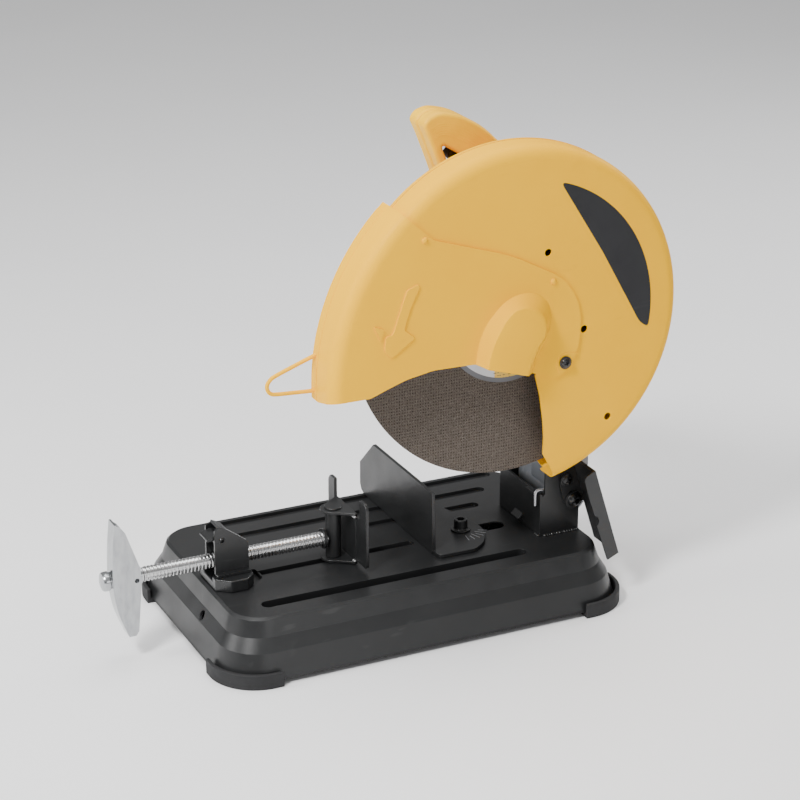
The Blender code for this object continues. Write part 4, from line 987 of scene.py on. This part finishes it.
def build_spindle():
    half = WHEEL_THICK / 2
    near = WHEEL_X + half
    profile = [(BORE_R, WHEEL_X - half), (WHEEL_R - 0.5, WHEEL_X - half), (WHEEL_R, WHEEL_X - half + 0.5),
               (WHEEL_R, near - 0.5), (WHEEL_R - 0.5, near), (BORE_R, near)]
    piece("visual_wheel", turned(profile, "X", WHEEL_Y, WHEEL_Z, 256), "spindle", "stone", "abrasive_wheel")
    label = ring(BORE_R + 0.5, 70.5, "X", WHEEL_Y, WHEEL_Z, near + 0.25, near + 0.7, 128)
    piece("visual_label", label, "spindle", "paper", "wheel_label")
    rim = ring(70, 75, "X", WHEEL_Y, WHEEL_Z, near + 0.1, near + 0.8, 128)
    piece("label_rim", rim, "spindle", "blotter")
    spindle = [(0, 34), (7.5, 34), (8, 34.5), (8, 77), (14, 77), (14, 85.7), (12.4, 85.7), (12.4, 98),
               (5.4, 98), (5.4, 78), (0, 78)]
    piece("visual_spindle", turned(spindle, "X", WHEEL_Y, WHEEL_Z), "spindle", "bright", "spindle")
    flange = [(14.4, 86), (37.5, 86), (40, 88.5), (40, 93.1), (34, 93.1), (32, 92), (12.9, 92), (12.9, 87)]
    piece("visual_inner_flange", turned(flange, "X", WHEEL_Y, WHEEL_Z), "spindle", "bright", "inner_flange")
    flange = [(6, 104), (33, 104), (35, 103.6), (38, 101), (38, near + 1.0), (32, near + 1.0),
              (30, 98.6), (6, 98.6)]
    piece("visual_outer_flange", turned(flange, "X", WHEEL_Y, WHEEL_Z), "spindle", "bright", "outer_flange")
    washer = [(5.4, 104.3), (11.7, 104.3), (12, 104.6), (12, 106.3), (11.7, 106.6), (5.4, 106.6)]
    piece("visual_arbor_washer", turned(washer, "X", WHEEL_Y, WHEEL_Z), "spindle", "bright", "arbor_washer")
    head = joined(prism(hexagon(WHEEL_Y, WHEEL_Z, 9.8), "X", 107, 115),
                  disc(5, "X", WHEEL_Y, WHEEL_Z, 79, 108))
    piece("visual_arbor_bolt", head, "spindle", "dark", "arbor_bolt", 0.6)


# ---------------------------------------------------------------- arm, gear case and motor

def lug_centres():
    return [(WHEEL_Y + LUG_R * math.cos(math.radians(a)), WHEEL_Z + LUG_R * math.sin(math.radians(a)))
            for a in LUG_TURNS]


def gear_case():
    def outline(big, small):
        return (arc((WHEEL_Y, WHEEL_Z), big, 70, 290, 48) + arc((MOTOR_Y, MOTOR_Z), small, -80, 80, 24))
    shape = prism(outline(47, 24), "X", 58 + GAP, 83.7)
    shape = less(shape, prism(outline(42, 19), "X", 50, 80))
    shape = less(shape, disc(14.6, "X", WHEEL_Y, WHEEL_Z, 70, 90), disc(4.9, "Z", LOCK_X, WHEEL_Y, 384, 400))
    return joined(shape, *[disc(5, "X", y, z, 58 + GAP, 76, 32) for y, z in lug_centres()])


def arm():
    web = arc((PIVOT_Y, PIVOT_Z), 20, -150, 20, 24)
    web += [(203, 138), (203, 152), (196, 230), (188, 300)]
    web += arc((MOTOR_Y, MOTOR_Z), 57, -10, 100, 24)
    web += arc((WHEEL_Y, WHEEL_Z), 47, 100, 230, 24)
    web += [(112, 235), (156, 140)]
    shape = prism(web, "X", 30, 58)
    hollow = filleted([(165, 150), (190, 150), (180, 235), (160, 280), (118, 285)], 9)
    shape = less(shape, prism(hollow, "X", 44, 62), disc(26, "X", PIVOT_Y, PIVOT_Z, 46, 70))
    root = prism(filleted([(158, 112), (196, 112), (200, 150), (158, 150)], 6), "X", 10, 42)
    shape = joined(shape, root, disc(20, "X", PIVOT_Y, PIVOT_Z, -19, 44.5),
                   disc(13.5, "X", PIVOT_Y, PIVOT_Z, 40, 64))
    ribs = [prism([(158, 180), (192, 180), (192, 184), (158, 184)], "X", 43, 56),
            prism([(142, 225), (188, 225), (188, 229), (142, 229)], "X", 43, 56)]
    return less(joined(shape, *ribs), disc(6.4, "X", PIVOT_Y, PIVOT_Z, -25, 70),
                disc(8.6, "X", WHEEL_Y, WHEEL_Z, 20, 70), disc(16.4, "X", WHEEL_Y, WHEEL_Z, 44, 70),
                disc(8.6, "X", MOTOR_Y, MOTOR_Z, 20, 70), disc(14.4, "X", MOTOR_Y, MOTOR_Z, 20, 40))


def motor_housing():
    profile = [(47, 29.7), (57.4, 29.7), (58, 29.1), (58, 10), (57.4, 7), (56, 4), (56, -68), (55, -72),
               (52.6, -78), (52, -82), (52, -95), (49, -95), (49, -78), (52.5, -68), (52.5, 4), (54, 10),
               (47, 24)]
    shape = turned(profile, "X", MOTOR_Y, MOTOR_Z, 128)
    for end in (-1, 1):
        z = MOTOR_Z + end * 45
        shape = less(shape, disc(8.3, "Z", BRUSH_X, MOTOR_Y, z - 15, z + 15))
    for k in range(28):
        turn = math.tau * k / 28
        if abs(math.cos(turn)) < 0.2:
            continue
        u, v = MOTOR_Y + 56 * math.cos(turn), MOTOR_Z + 56 * math.sin(turn)
        cut = spun(u, v, turn, [(6, -1.6), (6, 1.6), (-1.4, 1.6), (-1.4, -1.6)])
        shape = less(shape, prism(cut, "X", -58, -12))
    return shape


def motor_end_cap():
    profile = [(0, -128), (28, -128), (33, -127.4), (42, -124), (47, -119), (50, -113), (51, -108),
               (51, -95.3), (48, -95.3), (48, -111), (42, -119.5), (14.4, -122), (14.4, -108),
               (11.4, -108), (11.4, -124),
               (0, -124)]
    shape = turned(profile, "X", MOTOR_Y, MOTOR_Z, 96)
    for k in range(10):
        turn = math.tau * (k + 0.5) / 10
        if k == 7:
            continue
        slot = spun(MOTOR_Y, MOTOR_Z, turn, stadium(25, 0, 38, 0, 2.6, 8))
        shape = less(shape, prism(slot, "X", -135, -110))
    return less(shape, disc(7.3, "X", MOTOR_Y, MOTOR_Z - GLAND_DROP, -135, -110))


def brush_cap(end):
    near, far = MOTOR_Z + end * 53, MOTOR_Z + end * 38
    shape = turned([(0, near), (7.4, near), (8, near - end * 0.6), (8, far), (0, far)], "Z",
                   BRUSH_X, MOTOR_Y, 48)
    low, high = sorted((near - end * 2, near + end * 2))
    return less(shape, block((BRUSH_X - 6, MOTOR_Y - 0.8, low), (BRUSH_X + 6, MOTOR_Y + 0.8, high)))


def build_motor():
    piece("visual_arm", arm(), "head", "grey", "arm", 1.2, 3)
    piece("visual_gear_case", gear_case(), "head", "grey", "gear_case", 1.0, 3)
    screws = [pan_head_screw(y, z, 76.1, 70, 2, 4, 2.6) for y, z in lug_centres()]
    piece("gear_case_screws", gathered(*screws), "head", "zinc")
    piece("visual_motor_housing", motor_housing(), "head", "plastic", "motor_housing", 0.5, 2)
    piece("visual_motor_end_cap", motor_end_cap(), "head", "plastic", "motor_end_cap", 0.5, 2)
    piece("visual_brush_cap_top", brush_cap(1), "head", "dark", "brush_cap_top")
    piece("visual_brush_cap_bottom", brush_cap(-1), "head", "dark", "brush_cap_bottom")
    gland = [(0, -116), (7, -116), (7, -129), (9.5, -130)]
    for k in range(5):
        gland += [(9.3 - 0.25 * k, -131 - 4 * k), (9.1 - 0.25 * k, -133.4 - 4 * k),
                  (7.9 - 0.2 * k, -133.8 - 4 * k), (7.9 - 0.2 * k, -134.6 - 4 * k)]
    gland += [(4, -150), (4, -120), (0, -120)]
    piece("visual_cord_gland", turned(gland, "X", MOTOR_Y, MOTOR_Z - GLAND_DROP, 40), "head", "rubber",
          "cord_gland")
    button = [(0, 389), (4.5, 389), (4.5, 396), (6.4, 396), (7, 396.6), (7, 401), (6.2, 402), (0, 402)]
    piece("visual_lock_button", turned(button, "Z", LOCK_X, WHEEL_Y, 40), "lock_button", "plastic",
          "lock_button")


# ---------------------------------------------------------------- handle

def handle_half(low, high):
    outer = [(2, 545), (8, 553), (21, 557), (44, 552), (71, 537), (96, 513), (114, 486), (124, 455),
             (124, 404.5), (108, 404.5), (60, 404.5), (44, 430), (36, 455), (24, 492), (9, 530)]
    grip = prism(filleted(outer, 14, 6), "X", low, high)
    hole = filleted([(23, 523), (50, 506), (80, 483), (93, 462), (96, 446), (66, 440), (52, 448),
                     (36, 492)], 7)
    grip = less(grip, prism(hole, "X", low - 10, high + 10))
    pocket = [(40, 524), (66, 509), (60, 494), (32, 508)]
    return less(grip, prism(pocket, "X", HANDLE_X - 7.5, HANDLE_X + 7.5))


def build_handle():
    split = HANDLE_X - GAP / 2
    for label, low, high in (("left", HANDLE_X - HANDLE_HALF, split),
                             ("right", split + GAP, HANDLE_X + HANDLE_HALF)):
        piece(f"visual_handle_{label}", handle_half(low, high), "head", "handle", f"handle_{label}",
              4.5, 8, 40, False)
    ribs = []
    for k in range(6):
        line = [(10 + 0.9 * k, 540 - 2.2 * k), (24, 545 - 2.4 * k), (43 - 0.8 * k, 540 - 2.3 * k),
                (67 - 1.2 * k, 526 - 2.1 * k), (90 - 1.6 * k, 503 - 1.7 * k)]
        near = HANDLE_X + HANDLE_HALF - 0.25
        ribs.append(swept(smoothed([(near, y, z) for y, z in line], 6), 0.5, 8))
    piece("handle_ribs", gathered(*ribs), "head", "handle")
    trigger = filleted([(44, 516), (62, 506), (58, 492), (50, 494), (38, 503), (36, 509)], 3)
    piece("visual_trigger", prism(trigger, "X", HANDLE_X - 7, HANDLE_X + 7), "trigger", "plastic",
          "trigger", 1.2, 3)


# ---------------------------------------------------------------- nodes that keep their CAD shape

def dress(node, paint):
    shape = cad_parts[node]
    shape.data.materials.clear()
    shape.data.materials.append(PAINTS[paint])


def dress_hidden():
    for node in ("spindle_bearing", "stator", "front_motor_bearing", "rear_motor_bearing", "armature",
                 "motor_pinion", "drive_gear"):
        dress(node, "bright")


# ---------------------------------------------------------------- stage, lights and camera

def build_stage():
    reach = 40000
    floor = solid([(-reach, -reach, 0), (reach, -reach, 0), (reach, reach, 0), (-reach, reach, 0)],
                  [(0, 1, 2, 3)])
    floor.name = "floor"
    made = Surface("pale_floor", 0.6)
    made.colour(made.ramp(made.noise(3, 2), [(0.3, (0.93, 0.93, 0.935)), (0.7, (0.95, 0.95, 0.955))]))
    floor.data.materials.append(made.material)
    world = bpy.data.worlds.new("studio")
    bpy.context.scene.world = world
    world.use_nodes = True
    nodes, links = world.node_tree.nodes, world.node_tree.links
    split, height = nodes.new("ShaderNodeSeparateXYZ"), nodes.new("ShaderNodeValToRGB")
    links.new(nodes.new("ShaderNodeTexCoord").outputs["Generated"], split.inputs[0])
    links.new(split.outputs["Z"], height.inputs["Fac"])
    low, high = height.color_ramp.elements
    low.position, low.color = 0.02, (0.22, 0.22, 0.225, 1.0)
    high.position, high.color = 0.75, (1.0, 1.0, 1.0, 1.0)
    links.new(height.outputs["Color"], nodes["Background"].inputs["Color"])
    nodes["Background"].inputs["Strength"].default_value = 0.6


def area_light(name, place_m, aim_m, size, power):
    data = bpy.data.lights.new(name, "AREA")
    data.shape = "RECTANGLE"
    data.size, data.size_y = size
    data.energy = power
    light = bpy.data.objects.new(name, data)
    bpy.context.scene.collection.objects.link(light)
    light.location = place_m
    light.rotation_euler = (Vector(aim_m) - Vector(place_m)).to_track_quat("-Z", "Y").to_euler()


def build_lights():
    area_light("key", (0.9, -1.5, 2.1), (0, 0, 0.3), (0.5, 0.5), 70)
    area_light("left", (-0.4, -2.2, 1.3), (0, 0, 0.3), (0.7, 1.4), 26)
    area_light("top", (-0.2, 0.3, 2.2), (0, 0, 0.2), (1.4, 1.8), 30)
    area_light("side", (2.4, 0.1, 0.7), (0, 0, 0.2), (1.2, 0.7), 7)
    area_light("rear", (-0.6, 2.2, 1.2), (0, 0, 0.3), (0.8, 1.2), 14)


def build_camera():
    data = bpy.data.cameras.new("camera")
    data.sensor_width = 36.0
    data.lens = 105.54
    camera = bpy.data.objects.new("camera", data)
    bpy.context.scene.collection.objects.link(camera)
    camera.location = (2.1321, -1.0138 + SHIFT_Y * MM, 1.1603)
    camera.rotation_euler = (math.radians(90 - 21.5397), 0.0, math.radians(64.5795))
    bpy.context.scene.camera = camera


build_base()
build_rear()
build_vice()
build_fence()
build_guard()
build_spindle()
build_motor()
build_handle()
dress_hidden()
build_stage()
build_lights()
build_camera()
